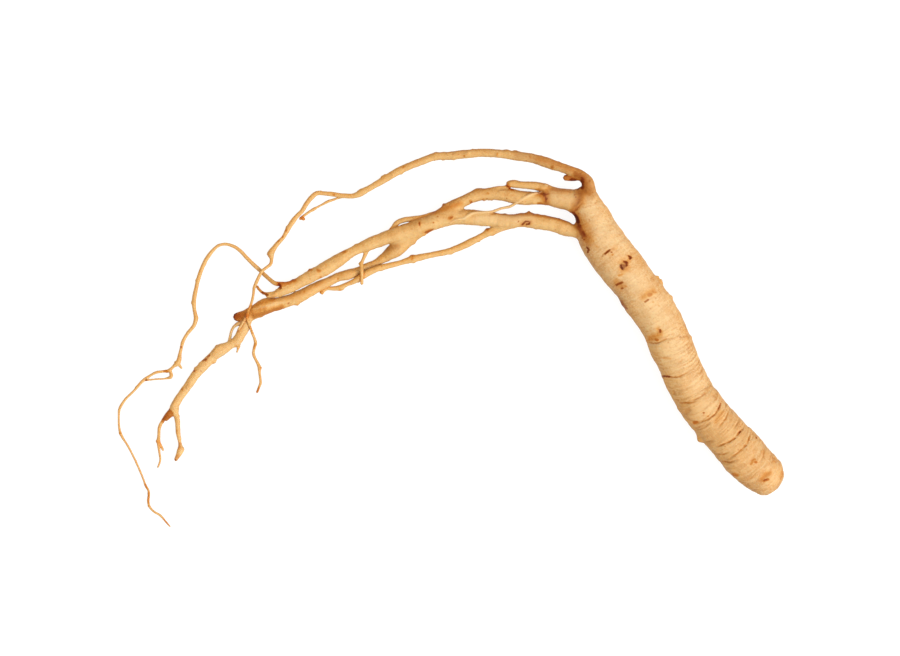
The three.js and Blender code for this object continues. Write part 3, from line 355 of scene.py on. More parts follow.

# Stains in the skin's upper side, by kind, with some painted highlights among the pale ones: half
# width, strength, and the line or point in plan.
STAINS_AND_HIGHLIGHTS = {
    "bark": (
        (0.55, 1, (37.3, 36.7), (37.9, 35.8), (38.3, 34.6)), (0.4, 0.5, (36.6, 37.6), (37.4, 36.9)),
        (0.5, 0.55, (38.3, 34.2), (38.7, 33.2)),
        (0.8, 0.33, (38.4, 33.2), (39.1, 32), (39.7, 30.8)), (0.28, 0.6, (39.6, 31.4), (40, 30.9)),
        (0.35, 0.6, (39.2, 47.6), (39, 45.6), (38.2, 44.6)),
        (0.3, 0.65, (-74.2, -6.9), (-73.4, -6.4)), (0.28, 0.6, (-72.8, -5.6), (-72.3, -5.3)),
        (0.28, 0.55, (-74.8, -9.9)), (0.4, 0.8, (-82.6, -36.7)), (0.26, 0.7, (39.3, 29.9)),
        (0.24, 0.7, (39.9, 29.3)), (0.5, 0.55, (39.4, 47.6), (39.5, 46.4), (39.4, 44.8)),
        (0.28, 0.85, (40.7, 27), (41.3, 26.4), (41, 25.6)), (0.3, 0.85, (48, 25.6)),
        (0.26, 0.8, (46.1, 25), (47.6, 26.3)), (0.34, 0.95, (53.3, 24.4), (53.9, 24), (53.6, 23.6)),
        (0.3, 0.95, (51.8, 22.8), (52.7, 22.6), (52.6, 21.6)),
        (0.27, 0.85, (50.8, 21.6), (51.2, 20.6)), (0.35, 0.7, (49.6, 15.8), (51.2, 16.5)),
        (0.3, 0.6, (51, 14.7), (51.3, 14.8)), (0.22, 0.6, (58, 10.7), (59.1, 11.5)),
        (0.32, 0.75, (62.5, 2.3), (62.5, 1.9)), (0.32, 0.8, (63.5, -11.5), (65.2, -11.6)),
        (0.25, 0.5, (80, -21.2), (80.7, -19.6)), (0.26, 0.7, (75.6, -22.4)),
        (0.26, 0.75, (86.3, -28.3), (86.6, -27.9)), (0.24, 0.6, (84.9, -30)),
        (0.2, 0.5, (93.6, -42.6), (94.2, -42.3)), (0.25, 0.6, (91.4, -29.9)),
        (0.26, 0.9, (21.4, 33.9), (22.2, 34.7), (23.2, 34.9)),
        (0.28, 1, (22.6, 34), (23.5, 34.1), (23.7, 34.6)), (0.25, 0.7, (20.4, 34.9)),
        (0.25, 0.6, (-9.3, 34.6), (-9.3, 33.8)),
        (0.24, 0.5, (-7.6, 31.6), (-6.6, 31.9), (-5.4, 32.5)),
        (0.26, 0.45, (26.2, 43.4), (27.8, 42.9), (29.4, 43.2)),
        (0.26, 0.4, (28, 43), (28.3, 41.8), (28.5, 40.6)), (0.25, 0.6, (17.2, 45.5), (17.7, 44.8)),
        (0.22, 0.4, (-7.6, 31.5), (-6.8, 31.5)), (0.25, 0.6, (28.8, 41.4)),
        (0.25, 0.5, (6.2, 40.6)), (0.3, 0.5, (-0.2, 35.8), (0.6, 36)),
        (0.4, 0.8, (36, 47.3), (37.2, 47.2)), (0.3, 0.6, (-76.9, -10)), (0.3, 0.7, (-80.8, -2.8)),
        (0.55, 0.85, (-64.4, 7.6), (-65.4, 6.8), (-65.5, 5.7), (-64.4, 4.9)),
        (0.9, 0.3, (-64.6, 6.2), (-63.6, 6.6)), (0.4, 0.75, (-51.3, 16), (-51, 14.8)),
        (0.3, 0.6, (-48.6, 17.4), (-47.2, 17.5)), (0.4, 0.75, (-56.3, 13.5), (-55, 12.9)),
        (0.28, 0.6, (-48.6, 10.3)), (0.4, 0.8, (-91.3, -12.7)),
    ),
    "rust": (
        (0.9, 0.8, (36.4, 38), (38, 36.6), (38.9, 34.6)),
        (1, 0.9, (38, 33.6), (39, 32), (40.2, 30.2)),
        (1.9, 0.6, (38.2, 35), (39.6, 32), (41, 29.6)),
        (1.2, 0.4, (26, 53.6), (33, 51.6), (38.5, 49.4)),
        (1.5, 0.7, (38.9, 42.8), (38.4, 40.6), (37.4, 39.2)),
        (0.6, 0.7, (-81.8, -35.6), (-82.6, -36.8)), (0.4, 0.6, (-81.2, -31.6), (-81.4, -33.2)),
        (0.3, 0.7, (-82, -27.8)), (0.45, 0.8, (-58.2, -16.5), (-57.6, -15.2)),
        (0.4, 0.7, (-56.9, -9)), (0.5, 0.5, (-64.4, -2.4)), (0.3, 0.5, (-60, 3.4), (-59.4, 1.4)),
        (0.35, 0.5, (-58.4, -1.6), (-58.9, -3.2)), (0.3, 0.6, (-91.6, -43.9), (-91, -45.4)),
        (0.35, 0.6, (-90.6, -46.4), (-90.6, -49.6)), (0.35, 0.8, (-90.9, -50.5)),
        (0.3, 0.6, (-86.2, -54.4), (-84.6, -56)), (0.35, 0.6, (-99.1, -28.5)),
        (0.5, 0.8, (-85.6, -9.9), (-84.8, -10.3)), (0.4, 0.25, (-79, -12.4)),
        (1.2, 0.75, (37.5, 48.6), (39.4, 47.6), (39.9, 46), (39.8, 43.6), (38.4, 43.2)),
        (1.5, 0.5, (40.8, 46), (41.4, 43.4)), (0.6, 0.5, (36, 43.7), (32, 44.1), (29.5, 44.6)),
        (0.6, 0.6, (37.6, 33.6), (35, 34.6), (31, 36.2)), (0.35, 0.35, (43.3, 27.4), (44.2, 27.2)),
        (0.32, 0.8, (48.3, 24.8)), (0.8, 0.3, (46.9, 25.6), (49.4, 27)),
        (1.2, 0.5, (51.4, 22.4), (52.6, 20.8), (51.4, 20.2)), (0.9, 0.5, (53.6, 24), (52.8, 22.8)),
        (0.35, 0.55, (50.2, 18.6), (51.4, 19)), (1, 0.5, (49.4, 16.6), (51.2, 15.4)),
        (0.3, 0.8, (52.1, 15.3), (52.4, 15.4)), (0.5, 0.75, (50.9, 10.8), (52.4, 8.9)),
        (0.55, 1, (59.3, 12.8), (59.8, 13)), (1, 0.55, (57.4, 12.2), (59.4, 13.4), (60.4, 13.8)),
        (0.28, 0.7, (61.2, 13.6)), (0.3, 0.7, (60.5, 10.7)), (0.3, 0.5, (62.2, 9.7)),
        (0.6, 0.6, (62, 2.6), (62.8, 1.8)), (0.42, 1, (61.3, -0.5), (61.8, -0.6)),
        (1, 0.55, (59.6, -0.2), (61.6, 0.6), (62.4, 1)), (0.4, 0.5, (63.8, -6), (65.6, -6.2)),
        (0.3, 0.9, (76.9, -23.4)), (0.45, 1, (72.8, -25.4), (73.5, -25.2)),
        (1, 0.4, (79.4, -24.8), (80.8, -22.4)), (0.3, 0.5, (79.4, -24.9), (79.8, -24.6)),
        (0.3, 0.5, (81, -24)), (0.35, 0.7, (89.7, -37.7), (90.3, -36.6), (90.9, -36.2)),
        (0.4, 1, (91, -37.1), (91.3, -37.2)), (0.75, 0.6, (93, -42.2), (94, -41), (95.3, -40.3)),
        (0.3, 1, (93.6, -42.8), (94.9, -42.2)), (0.45, 0.7, (84.6, -40.6), (85.8, -40.9)),
        (0.35, 0.4, (96.9, -37)), (0.6, 0.4, (99.4, -40), (99, -42)),
        (0.8, 0.6, (21.4, 34.1), (23.8, 34.5)),
        (0.5, 0.5, (12, 37.2), (20, 37.1), (28, 36.5), (36, 34.6)), (0.9, 0.5, (0.3, 35.8)),
        (0.4, 0.8, (-40, 20.5)), (0.35, 0.7, (-38.9, 18.2)),
        (0.4, 0.7, (-32.8, 25.9), (-31.7, 25.8)),
        (1.1, 0.9, (26.4, 43.6), (28.2, 42.8), (28.5, 40.4)), (0.5, 0.6, (28.6, 44.2), (29.4, 43)),
        (0.5, 0.95, (17, 45.7), (17.8, 44.8), (18.6, 44.6)), (0.6, 0.7, (23, 37.8), (24.6, 36.9)),
        (0.5, 0.9, (-2.2, 40.2)), (0.5, 0.9, (11.1, 32.6)), (0.4, 0.7, (12.8, 30.6)),
        (0.4, 0.7, (6.2, 40.6), (5.8, 40.9)), (0.4, 0.6, (-11.4, 24.6), (-11.5, 23.6)),
        (0.4, 0.5, (-9.3, 34.6), (-9.2, 33.6)), (0.7, 0.4, (-8, 31.5), (-6, 32.2)),
        (0.45, 0.8, (-0.4, 35.9)), (0.4, 0.9, (27.2, 40), (26.4, 40.2)), (0.35, 0.8, (27, 40.2)),
        (0.27, 0.7, (11, 43.3), (11.4, 43.1)), (0.35, 0.7, (9.8, 41.4)),
        (0.8, 0.55, (3, 40.2), (-1, 38.8), (-5, 37.6)), (0.3, 0.8, (4, 54.5)), (0.3, 0.7, (14, 55)),
        (0.35, 0.6, (24, 54)), (0.5, 0.9, (30.4, 51)), (0.35, 0.8, (-14.1, 51.2)),
        (0.35, 0.8, (-35, 42.9)), (0.4, 0.8, (-49.3, 32.3)), (0.35, 0.8, (-50.4, 30.3)),
        (0.35, 0.8, (-51.6, 29)), (0.3, 0.5, (-73.5, -6.8), (-72.3, -5.5)),
        (0.3, 0.6, (-76.4, -9.9), (-77, -9.8)), (0.25, 0.5, (-71.2, -7.3)),
        (0.4, 0.7, (-80.5, -15.5)), (1.6, 0.95, (-65, 6), (-62, 7)),
        (0.8, 0.8, (-50.6, 9.2), (-54, 7.9), (-59, 6.6)), (1, 0.6, (-56, 8.8), (-60.6, 7.4)),
        (0.7, 0.6, (-62, 8.2), (-58, 10), (-53, 11.6)),
        (0.75, 0.95, (-51.4, 16.3), (-49, 17.2), (-47, 17.4)),
        (0.5, 0.8, (-39.8, 20.3), (-39.4, 20)), (0.4, 0.8, (-42.4, 20.2), (-41.8, 20.4)),
        (0.35, 0.7, (-32, 25.5), (-31.4, 25.8)), (0.35, 0.8, (-33.8, 17.7)),
        (0.3, 0.85, (-43.9, 13.8)), (0.25, 0.6, (-40.5, 15.8)), (0.8, 0.5, (-38.8, 13.5)),
        (0.5, 0.3, (-46, 9.9)), (0.55, 0.35, (-38.4, 16.6), (-44, 13.9), (-49, 11.9)),
        (0.22, 0.6, (-42.2, 13)), (0.25, 0.5, (-36, 16.4)), (0.25, 0.5, (-47, 12.8)),
        (0.25, 0.6, (-37.3, 21.7)), (0.22, 0.5, (-35.5, 21.7)), (0.25, 0.5, (-26.3, 27.7)),
        (0.25, 0.5, (-21.5, 23)), (0.3, 0.5, (-19.3, 24.2)), (0.25, 0.6, (-20.7, 21.4)),
        (0.4, 0.6, (-33.2, 14.5)),
    ),
    "plum": (
        (1.2, 0.3, (20, 54.6), (27, 53.2), (33, 51.4), (37, 49.6)),
        (1.9, 0.5, (38, 48.6), (41, 47), (41.6, 44)), (1, 0.35, (38.9, 42.6), (38.4, 40.8)),
        (0.55, 0.9, (51, 21.6), (51.4, 20.8), (51.9, 21.4)),
        (0.6, 0.4, (48.2, 13.6), (50.2, 11.8), (51.2, 10.2), (52, 9)), (0.25, 0.7, (68.6, 0.3)),
        (0.7, 0.25, (-50.6, 9), (-54, 7.8), (-59, 6.6)), (0.9, 0.4, (-16, 27.4), (-20, 26.4)),
    ),
    # the first seven pale rows are painted highlights along the tops of the main body and of the
    # middle and lower roots, and the row at (28.7, 45.6) is a painted glint
    "pale": (
        (1.6, 0.35, (31, 42), (36, 41.4)), (1.1, 0.32, (8, 35.6), (16, 35.8), (24, 35.3)),
        (2.4, 0.25, (46.5, 33), (49, 30)), (2.2, 0.3, (54.8, 17.6), (55, 14.8)),
        (2.5, 0.3, (60.6, 9.4), (63, 6.4)), (2.2, 0.3, (65, -4), (67, -8.6)),
        (1.8, 0.2, (73, -14.6), (77, -20.6)), (0.3, 0.8, (54.9, 11.5)),
        (0.25, 1, (62.5, -3.2), (62.7, -3.1)),
        (0.35, 0.5, (59.4, -2.1), (61.6, -2.3), (63.2, -1.6)), (0.3, 0.8, (28.7, 45.6)),
        (0.25, 0.3, (-59, 8.5), (-54, 9.9), (-50, 10.7)),
    ),
}

# Strands that are stained all over, by kind of stain, and how strongly.
DRESSED = {
    "bark": {"fork_stump": 0.25, "broken_stump": 0.12, "branch_stub": 0.12},
    "rust": {
        "fork_stump": 0.9, "branch_stub": 0.95, "broken_stump": 1.0, "twig_fork": 0.75,
        "tip_twig": 0.5, "middle_root": 0.16, "upper_branch": 0.1, "floor_root": 0.2,
        "side_rootlet": 0.1, "middle_side_tube": 0.12,
    },
    "pale": {
        "crossing_thread": 0.55, "diagonal_root": 0.2, "overlying_twig": 0.4, "bridge_twig": 0.4,
    },
}

# Strands whose side turned from the key light gets lighter painted fill light, and how much.
PAINTED_FILL_STRANDS = {
    "main_body": 0.75, "side_rootlet": 1.0, "floor_root": 0.8, "diagonal_root": 0.9,
    "crossing_twig": 0.8, "bridge_twig": 0.8, "overlying_twig": 0.8, "crossing_thread": 0.5,
    "middle_side_tube": 0.2, "fork_rootlet": 0.5, "lower_root": 0.3, "middle_root": 0.15,
    "branch_twig": 0.4,
}

# Knobs and dents on the skin: x, y, z, reach, height.
BUMPS = (
    (61.6, 18, 7, 0.6, 0.85), (62.6, 17, 6.8, 0.75, 0.85), (63.3, 16.2, 6.6, 0.5, 0.5),
    (65, 13.4, 6.6, 0.6, 0.25), (66, 12.2, 6.6, 0.8, 0.75), (72.2, 0.4, 6.4, 0.7, 0.45),
    (74.4, -30, 6.4, 1, 0.95), (75.1, -30.9, 6.4, 0.8, 0.75), (49.2, 13.3, 6.6, 0.9, 0.2),
    (51.4, 9.9, 6.6, 0.9, 0.2), (68.4, -21.4, 6.6, 1.4, 0.2), (78.6, -14.2, 6.8, 1.3, -0.4),
    (99.8, -40.4, 6.6, 0.7, -0.35), (94, -41.6, 12, 0.9, -0.35), (91.1, -37, 12.8, 0.5, -0.2),
    (52.3, 22.1, 12.9, 0.5, -0.25), (51.2, 21, 12.8, 0.5, -0.2), (53.7, 24.1, 12.8, 0.4, -0.2),
    (50.4, 16.2, 12.4, 0.6, -0.2), (62.5, 2.1, 12.8, 0.45, -0.2), (61.4, -0.6, 12.3, 0.5, 0.15),
    (59.5, 12.8, 13, 0.5, 0.12), (37.8, 35.6, 7.5, 1, -0.35), (48, 25.6, 13, 0.35, -0.15),
    (30.2, 50.2, 7, 0.6, 0.3), (17, 56, 6, 0.8, 0.25), (1, 53.6, 4.2, 0.7, 0.25),
    (-4.5, 55.2, 3.7, 0.7, 0.25), (-27, 44.2, 1.5, 0.7, 0.2), (-2.1, 39.9, 4.4, 0.5, 0.6),
    (7.6, 44.5, 5.1, 0.8, 0.35), (8.8, 44.6, 5.1, 0.6, 0.2), (23.3, 37.3, 5.9, 0.4, 0.7),
    (23.8, 37.2, 5.8, 0.9, 0.3), (11.1, 32.4, 3.9, 0.5, 0.5), (12.8, 30.6, 4.1, 0.6, 0.35),
    (0.2, 25.1, 2.7, 0.6, 0.3), (-11.3, 24.7, 2.5, 0.5, 0.3), (-11.1, 22.6, 2.5, 0.5, 0.25),
    (10, 41.2, 5.1, 0.4, 0.2), (12.3, 41.4, 5.3, 0.4, 0.2), (-8, 31, 4.2, 0.5, 0.3),
    (-28.7, 28.1, 3.7, 0.6, 0.25), (-42.2, 20.3, 3.5, 0.5, 0.35), (-47.4, 17.5, 3.9, 0.5, 0.3),
    (17, 46.6, 6.2, 0.6, 0.4), (17.1, 45.5, 6.8, 0.5, 0.35), (28.4, 43.9, 7.6, 0.8, 0.3),
    (-11, 28.4, 2.8, 0.7, 0.3), (-46, 10, 1.9, 0.7, 0.45), (-56.8, 6.9, 2, 0.6, 0.45),
    (-27.1, 22.2, 3.2, 0.5, 0.5), (-38.6, 13.4, 0.7, 0.6, 0.45), (-33.2, 14.2, 0.9, 0.5, 0.25),
    (-79.9, -33.3, 1, 0.5, 0.25), (-88.1, -31, 0.6, 0.45, 0.3), (-63.7, -2.4, 1, 0.8, 0.5),
    (-76.7, -9, 1.3, 0.5, 0.35), (-71, -7.5, 1.4, 0.7, 0.3), (-57, -9, 0.5, 0.45, 0.35),
    (-91, -50.7, 0.35, 0.3, 0.3), (-82.6, -7.3, 0.7, 0.35, 0.35), (-99.2, -28.7, 0.35, 0.35, 0.2),
    (-76.5, 17.3, 0.6, 0.4, 0.25), (-77.6, 10.5, 0.6, 0.4, 0.25), (-76, 5.9, 0.6, 0.4, 0.2),
    (-70.3, -2.3, 1.7, 0.6, 0.35), (-55, 25.2, 1, 0.5, 0.3), (-85, -10.5, 0.5, 0.35, 0.3),
)


class Strand:
    """One round strand: evenly spaced stations on a smooth route, with two side vectors at each."""

    SAMPLES = 16  # curve samples between two points of a route, before they are spaced evenly
    FEWEST_RINGS = 6
    LEAST_RADIUS = 0.1

    def __init__(self, name, route):
        self.name = name
        self.sides, step = GRIDS.get(name, THIN_GRID)
        knots = np.array(route, float)
        chords = leaps(knots)
        reach = running_total(chords)
        slope = np.gradient(knots, reach, axis=0)
        t = np.linspace(0.0, reach[-1], self.SAMPLES * len(chords) + 1)
        i = np.clip(np.searchsorted(reach, t, side="right") - 1, 0, len(chords) - 1)
        span = chords[i][:, None]
        u = ((t - reach[i]) / chords[i])[:, None]
        curve = (
            (1 + 2 * u) * (1 - u) ** 2 * knots[i]
            + u * (1 - u) ** 2 * span * slope[i]
            + u * u * (3 - 2 * u) * knots[i + 1]
            + u * u * (u - 1) * span * slope[i + 1]
        )
        run = running_total(leaps(curve))
        self.length = run[-1]
        self.rings = max(self.FEWEST_RINGS, round(self.length / step))
        self.run = np.linspace(0.0, self.length, self.rings + 1)
        even = np.stack([np.interp(self.run, run, column) for column in curve.T], axis=1)
        self.centre = even[:, :3]
        self.radius = np.maximum(even[:, 3], self.LEAST_RADIUS)
        along = unit(np.gradient(self.centre, axis=0))
        self.across = unit(np.cross(along, UP))
        self.above = np.cross(self.across, along)

    def profile(self):
        """Radius at each ring, rounded off to nothing at both ends."""
        from_start = self.run / self.radius[0]
        from_end = (self.length - self.run) / self.radius[-1]
        inside = np.clip(np.minimum(from_start, from_end), 0.0, 1.0)
        return self.radius * np.sqrt(1.0 - (1.0 - inside) ** 2)

    def read(self, stations, vectors):
        """Vectors that are known at the rings, read off at any stations."""
        return np.stack([np.interp(stations, self.run, part) for part in vectors.T], axis=1)


def leaps(line):
    """Distance from each point of a line to the next."""
    return np.linalg.norm(np.diff(line[:, :3], axis=0), axis=1)


def running_total(lengths):
    return np.concatenate([[0.0], np.cumsum(lengths)])


def unit(vectors):
    return vectors / np.linalg.norm(vectors, axis=1)[:, None]


def coordinates(verts):
    return np.array([vert.co for vert in verts])


def place(verts, points):
    for vert, point in zip(verts, points):
        vert.co = point


def linked(name, data):
    obj = bpy.data.objects.new(name, data)
    bpy.context.scene.collection.objects.link(obj)
    return obj


def strand_object(strand):
    """A ball with one ring of points for each station, stretched and bent along the strand."""
    mesh = bpy.data.meshes.new(strand.name)
    bm = bmesh.new()
    bmesh.ops.create_uvsphere(bm, u_segments=strand.sides, v_segments=strand.rings, radius=1.0)
    co = coordinates(bm.verts)
    ring = np.rint(np.arccos(np.clip(co[:, 2], -1.0, 1.0)) / math.pi * strand.rings).astype(int)
    turn = np.arctan2(co[:, 1], co[:, 0])[:, None]
    outward = np.cos(turn) * strand.across[ring] + np.sin(turn) * strand.above[ring]
    place(bm.verts, strand.centre[ring] + outward * strand.profile()[ring][:, None])
    bm.to_mesh(mesh)
    bm.free()
    return linked(strand.name, mesh)


def joined_mesh(objects):
    """All strands united into one closed skin."""
    trunk, *others = objects
    for other in others:
        union = trunk.modifiers.new(other.name, "BOOLEAN")
        union.operation = "UNION"
        union.solver = "MANIFOLD"
        union.object = other
    depsgraph = bpy.context.evaluated_depsgraph_get()
    mesh = bpy.data.meshes.new_from_object(trunk.evaluated_get(depsgraph))
    for obj in objects:
        spent = obj.data
        bpy.data.objects.remove(obj)
        bpy.data.meshes.remove(spent)
    return mesh


class Skeleton:
    """All strands together: tells how far a point is from each strand's skin."""

    REACH = 3.2  # a strand further off than this is left out
    BATCH = 12000  # points measured at a time

    def __init__(self):
        self.strands = [Strand(name, route) for name, route in ROUTES.items()]
        self.forks = [
            (NAMES.index(a), NAMES.index(b), width, FORK_ENDS.get((a, b), -FAR))
            for a, branches in FORKS.items()
            for b, width in branches.items()
        ]

    def probe(self, points):
        """For each point and strand: gap to the skin, direction away from it, and station."""
        shape = (len(points), len(self.strands))
        gap = np.full(shape, FAR)
        away = np.zeros(shape + (3,))
        station = np.zeros(shape)
        for k, strand in enumerate(self.strands):
            reach = strand.radius.max() + self.REACH
            low = strand.centre.min(axis=0) - reach
            high = strand.centre.max(axis=0) + reach
            near = np.flatnonzero(((points > low) & (points < high)).all(axis=1))
            for batch in np.array_split(near, len(near) // self.BATCH + 1):
                if len(batch):
                    found = nearest(strand, points[batch])
                    gap[batch, k], away[batch, k], station[batch, k] = found
        return gap, away, station

    def fused(self, points, gap, away):
        """Gap to the skin with every fork filled smoothly, which way it grows, and how full."""
        rows = np.arange(len(gap))
        owner = gap.argmin(axis=1)
        value = gap[rows, owner]
        pull = away[rows, owner]
        filled = np.zeros(len(gap))
        for a, b, width, end in self.forks:
            held = smoothstep(end - FORK_FADE, end, points[:, 0])
            near = held * share(np.abs(gap[:, a] - gap[:, b]), width)
            smooth = np.minimum(gap[:, a], gap[:, b]) - near * near * width / 4.0
            part = np.where(gap[:, a] < gap[:, b], near / 2.0, 1.0 - near / 2.0)[:, None]
            better = (smooth < value) & (near > 0.0)
            value = np.where(better, smooth, value)
            mixed = (1.0 - part) * away[:, a] + part * away[:, b]
            pull = np.where(better[:, None], mixed, pull)
            close = held * share(np.maximum(gap[:, a], gap[:, b]), width)
            filled = np.maximum(filled, np.where(near > 0.0, close, 0.0))
        return value, pull, filled


def share(distance, width):
    """1 at no distance, falling to 0 at the given width."""
    return np.clip(1.0 - distance / width, 0.0, 1.0)


def smoothstep(low, high, x):
    t = np.clip((x - low) / (high - low), 0.0, 1.0)
    return t * t * (3.0 - 2.0 * t)


def nearest(strand, points):
    """Gap from each point to one strand's skin, direction away from it, and station along it."""
    leap = np.diff(strand.centre, axis=0)
    offset = points[:, None, :] - strand.centre[None, :-1, :]
    t = np.clip((offset * leap).sum(axis=2) / (leap * leap).sum(axis=1), 0.0, 1.0)
    apart = offset - t[:, :, None] * leap
    distance = np.linalg.norm(apart, axis=2)
    radius = strand.radius[:-1] + t * np.diff(strand.radius)
    best = (distance - radius).argmin(axis=1)
    rows = np.arange(len(points))
    distance = distance[rows, best]
    away = apart[rows, best] / np.maximum(distance, LEAST_DISTANCE)[:, None]
    station = strand.run[best] + t[rows, best] * (strand.run[1] - strand.run[0])
    return distance - radius[rows, best], away, station


def fill_forks(bm, skeleton, passes):
    """Rounds the hollows between grown-together strands, and evens the points there."""
    points = coordinates(bm.verts)
    gap, away, _ = skeleton.probe(points)
    _, _, filled = skeleton.fused(points, gap, away)
    # a strand's rounded end lies below its full width, and the hollow takes it back up
    target = gap.min(axis=1) * (1.0 - filled)
    zone = np.flatnonzero(filled > 0.0)
    bm.verts.ensure_lookup_table()
    hollow = [bm.verts[i] for i in zone]
    every_axis = {"use_axis_x": True, "use_axis_y": True, "use_axis_z": True}
    for step in range(passes):
        if step:
            bmesh.ops.smooth_vert(bm, verts=hollow, factor=0.5, **every_axis)
        moved = coordinates(hollow)
        for _ in range(SETTLINGS):
            gap, away, _ = skeleton.probe(moved)
            value, pull, _ = skeleton.fused(moved, gap, away)
            strength = np.maximum((pull * pull).sum(axis=1), WEAKEST_PULL)
            moved -= pull * ((value - target[zone]) / strength)[:, None]
        place(hollow, moved)


def speckle(points, size, seed):
    """Smooth noise between about -1 and 1, with blobs about size across."""
    shifted = points / size + SEED_SHIFT * seed
    return NOISE_GAIN * np.array([noise.noise(Vector(p)) for p in shifted])


def plan_distance(points, line):
    """Distance in the floor's plane from each point to a line through the given points."""
    line = np.array(line, float)
    flat = points[:, :2]
    if len(line) == 1:
        return np.linalg.norm(flat - line[0], axis=1)
    best = np.full(len(flat), FAR)
    for start, end in zip(line[:-1], line[1:]):
        leap = end - start
        t = np.clip(((flat - start) @ leap) / (leap @ leap), 0.0, 1.0)
        best = np.minimum(best, np.linalg.norm(flat - start - t[:, None] * leap, axis=1))
    return best


class Skin:
    """What is known at each point of the skin: which strand it is on and where along it."""

    LEAN = 2.5  # how far the body's rings lean towards the crown at their top
    SPACING = 13.0  # distance between two strands' stretches of the unbent coordinates
    WIDE_FORK = 0.25  # a fork filled wider than this has no painted shade where its strands touch
    SEAM = 0.8  # over this distance from another strand the lengthways patterns come back
    TOUCH = 1.2  # a second strand nearer than this makes the fine relief fade out
    # from where to where, in millimetres along the body from its neck, each of these sets in
    LEANING = (20.0, 60.0)
    RINGING = (48.0, 72.0)
    BODY_PAINTED_FILL = (25.0, 60.0)
    # the same for x, over all strands
    PAINTED_SHADE_RANGE = (-40.0, 5.0)
    PAINTED_FILL_RANGE = (5.0, -25.0)
    # and for how steeply the skin faces up
    UPPER = (-0.15, 0.15)
    PAINTED_TOP_RANGE = (0.55, 0.98)
    PAINTED_SIDE_LEVEL = (0.1, 0.85)

    def __init__(self, bm, skeleton):
        self.points = coordinates(bm.verts)
        bm.normal_update()
        self.normals = np.array([vert.normal for vert in bm.verts])
        gap, away, station = skeleton.probe(self.points)
        rows = np.arange(len(self.points))
        self.owner = owner = gap.argmin(axis=1)
        self.on_body = owner == NAMES.index(CHIEF)
        around = away[rows, owner]
        along = station[rows, owner]
        self.girth = np.zeros(len(rows))
        self.unbent = np.zeros((len(rows), 3))
        offset = 0.0
        for k, strand in enumerate(skeleton.strands):
            mine = owner == k
            here = along[mine]
            radius = np.interp(here, strand.run, strand.radius)
            side = (around[mine] * strand.read(here, strand.across)).sum(axis=1)
            top = (around[mine] * strand.read(here, strand.above)).sum(axis=1)
            lean = self.LEAN * smoothstep(*self.LEANING, here) if strand.name == CHIEF else 0.0
            self.girth[mine] = radius
            unbent = (here - lean * top + offset, side * radius, top * radius)
            self.unbent[mine] = np.stack(unbent, axis=1)
            offset += strand.length + self.SPACING
        second = np.argsort(gap, axis=1)[:, 1]
        touch = gap[rows, second]
        merged = np.zeros((len(NAMES), len(NAMES)), bool)
        for a, b, width, _ in skeleton.forks:
            merged[a, b] = merged[b, a] = width > self.WIDE_FORK
        # painted shade where another strand touches, except at forks filled wider than WIDE_FORK
        self.painted_contact_shade = share(touch, 1.0) * ~merged[owner, second]
        self.seam = np.clip(1.5 - (touch - gap[rows, owner]) / self.SEAM, 0.0, 1.0)
        self.plain = 1.0 - smoothstep(0.0, 0.8, share(touch, self.TOUCH))
        self.upper = smoothstep(*self.UPPER, self.normals[:, 2])
        # painted shade: browner on the side turned from the key light, falling to a fifth of it at
        # the far left
        self.painted_shade = self.facing(PAINTED_SHADE_SIDE)
        self.painted_shade *= 0.2 + 0.8 * smoothstep(*self.PAINTED_SHADE_RANGE, self.points[:, 0])
        # painted highlight: lighter on the side facing the key light
        self.painted_highlight = self.facing(PAINTED_HIGHLIGHT_SIDE)
        # painted highlight: palest where the skin faces up
        self.painted_top_highlight = smoothstep(*self.PAINTED_TOP_RANGE, self.normals @ np.array(PAINTED_TOP_SIDE))
        # painted shade: warmer and darker where the skin turns from facing up to facing sideways
        self.painted_side_shade = 1.0 - smoothstep(*self.PAINTED_SIDE_LEVEL, self.normals[:, 2])
        # painted fill light: lighter on the shaded side, more so to the left and along the body
        # away from its neck
        painted_fill_share = np.array([PAINTED_FILL_STRANDS.get(name, 0.0) for name in NAMES])[owner]
        painted_fill_share = np.maximum(painted_fill_share, 0.5 * smoothstep(*self.PAINTED_FILL_RANGE, self.points[:, 0]))
        painted_fill_share *= np.where(self.on_body, smoothstep(*self.BODY_PAINTED_FILL, self.unbent[:, 0]), 1.0)
        self.painted_fill = self.facing(PAINTED_FILL_SIDE, 0.2) * painted_fill_share

    def facing(self, side, lead=0.0):
        """How squarely the skin faces a side, where a lead takes in more of it."""
        return np.clip(self.normals @ np.array(side) + lead, 0.0, 1.0)

    def grain(self, fineness, seed):
        """Noise that follows the strands, as fine as given along, across and over them."""
        return speckle(self.unbent * np.array(fineness), size=1.0, seed=seed)

    def relief(self, shape):
        """Height to add along the normals. Notes the knots and creases for the colours too."""
        thick = smoothstep(0.6, 4.5, self.girth)
        slim = 1.0 - smoothstep(1.8, 4.5, self.girth)
        height = shape.lumps * self.lumps(thick, slim)
        # small knots, scattered along the rootlets
        self.knots = smoothstep(0.75, 1.15, self.grain(KNOT_GRAIN, seed=12)) * slim * self.plain
        height += shape.knots * self.knots * KNOT_HEIGHT * np.clip(self.girth, 0.45, 1.1)
        # rings round the body and the thick roots
        crowd = 0.12 + 0.88 * smoothstep(*self.RINGING, self.unbent[:, 0]) * self.on_body
        rings = 0.5 * self.grain(RING_GRAIN, seed=5) + 0.8 * self.grain(WIDE_RING_GRAIN, seed=6)
        height += shape.rings * self.plain * thick * crowd * rings
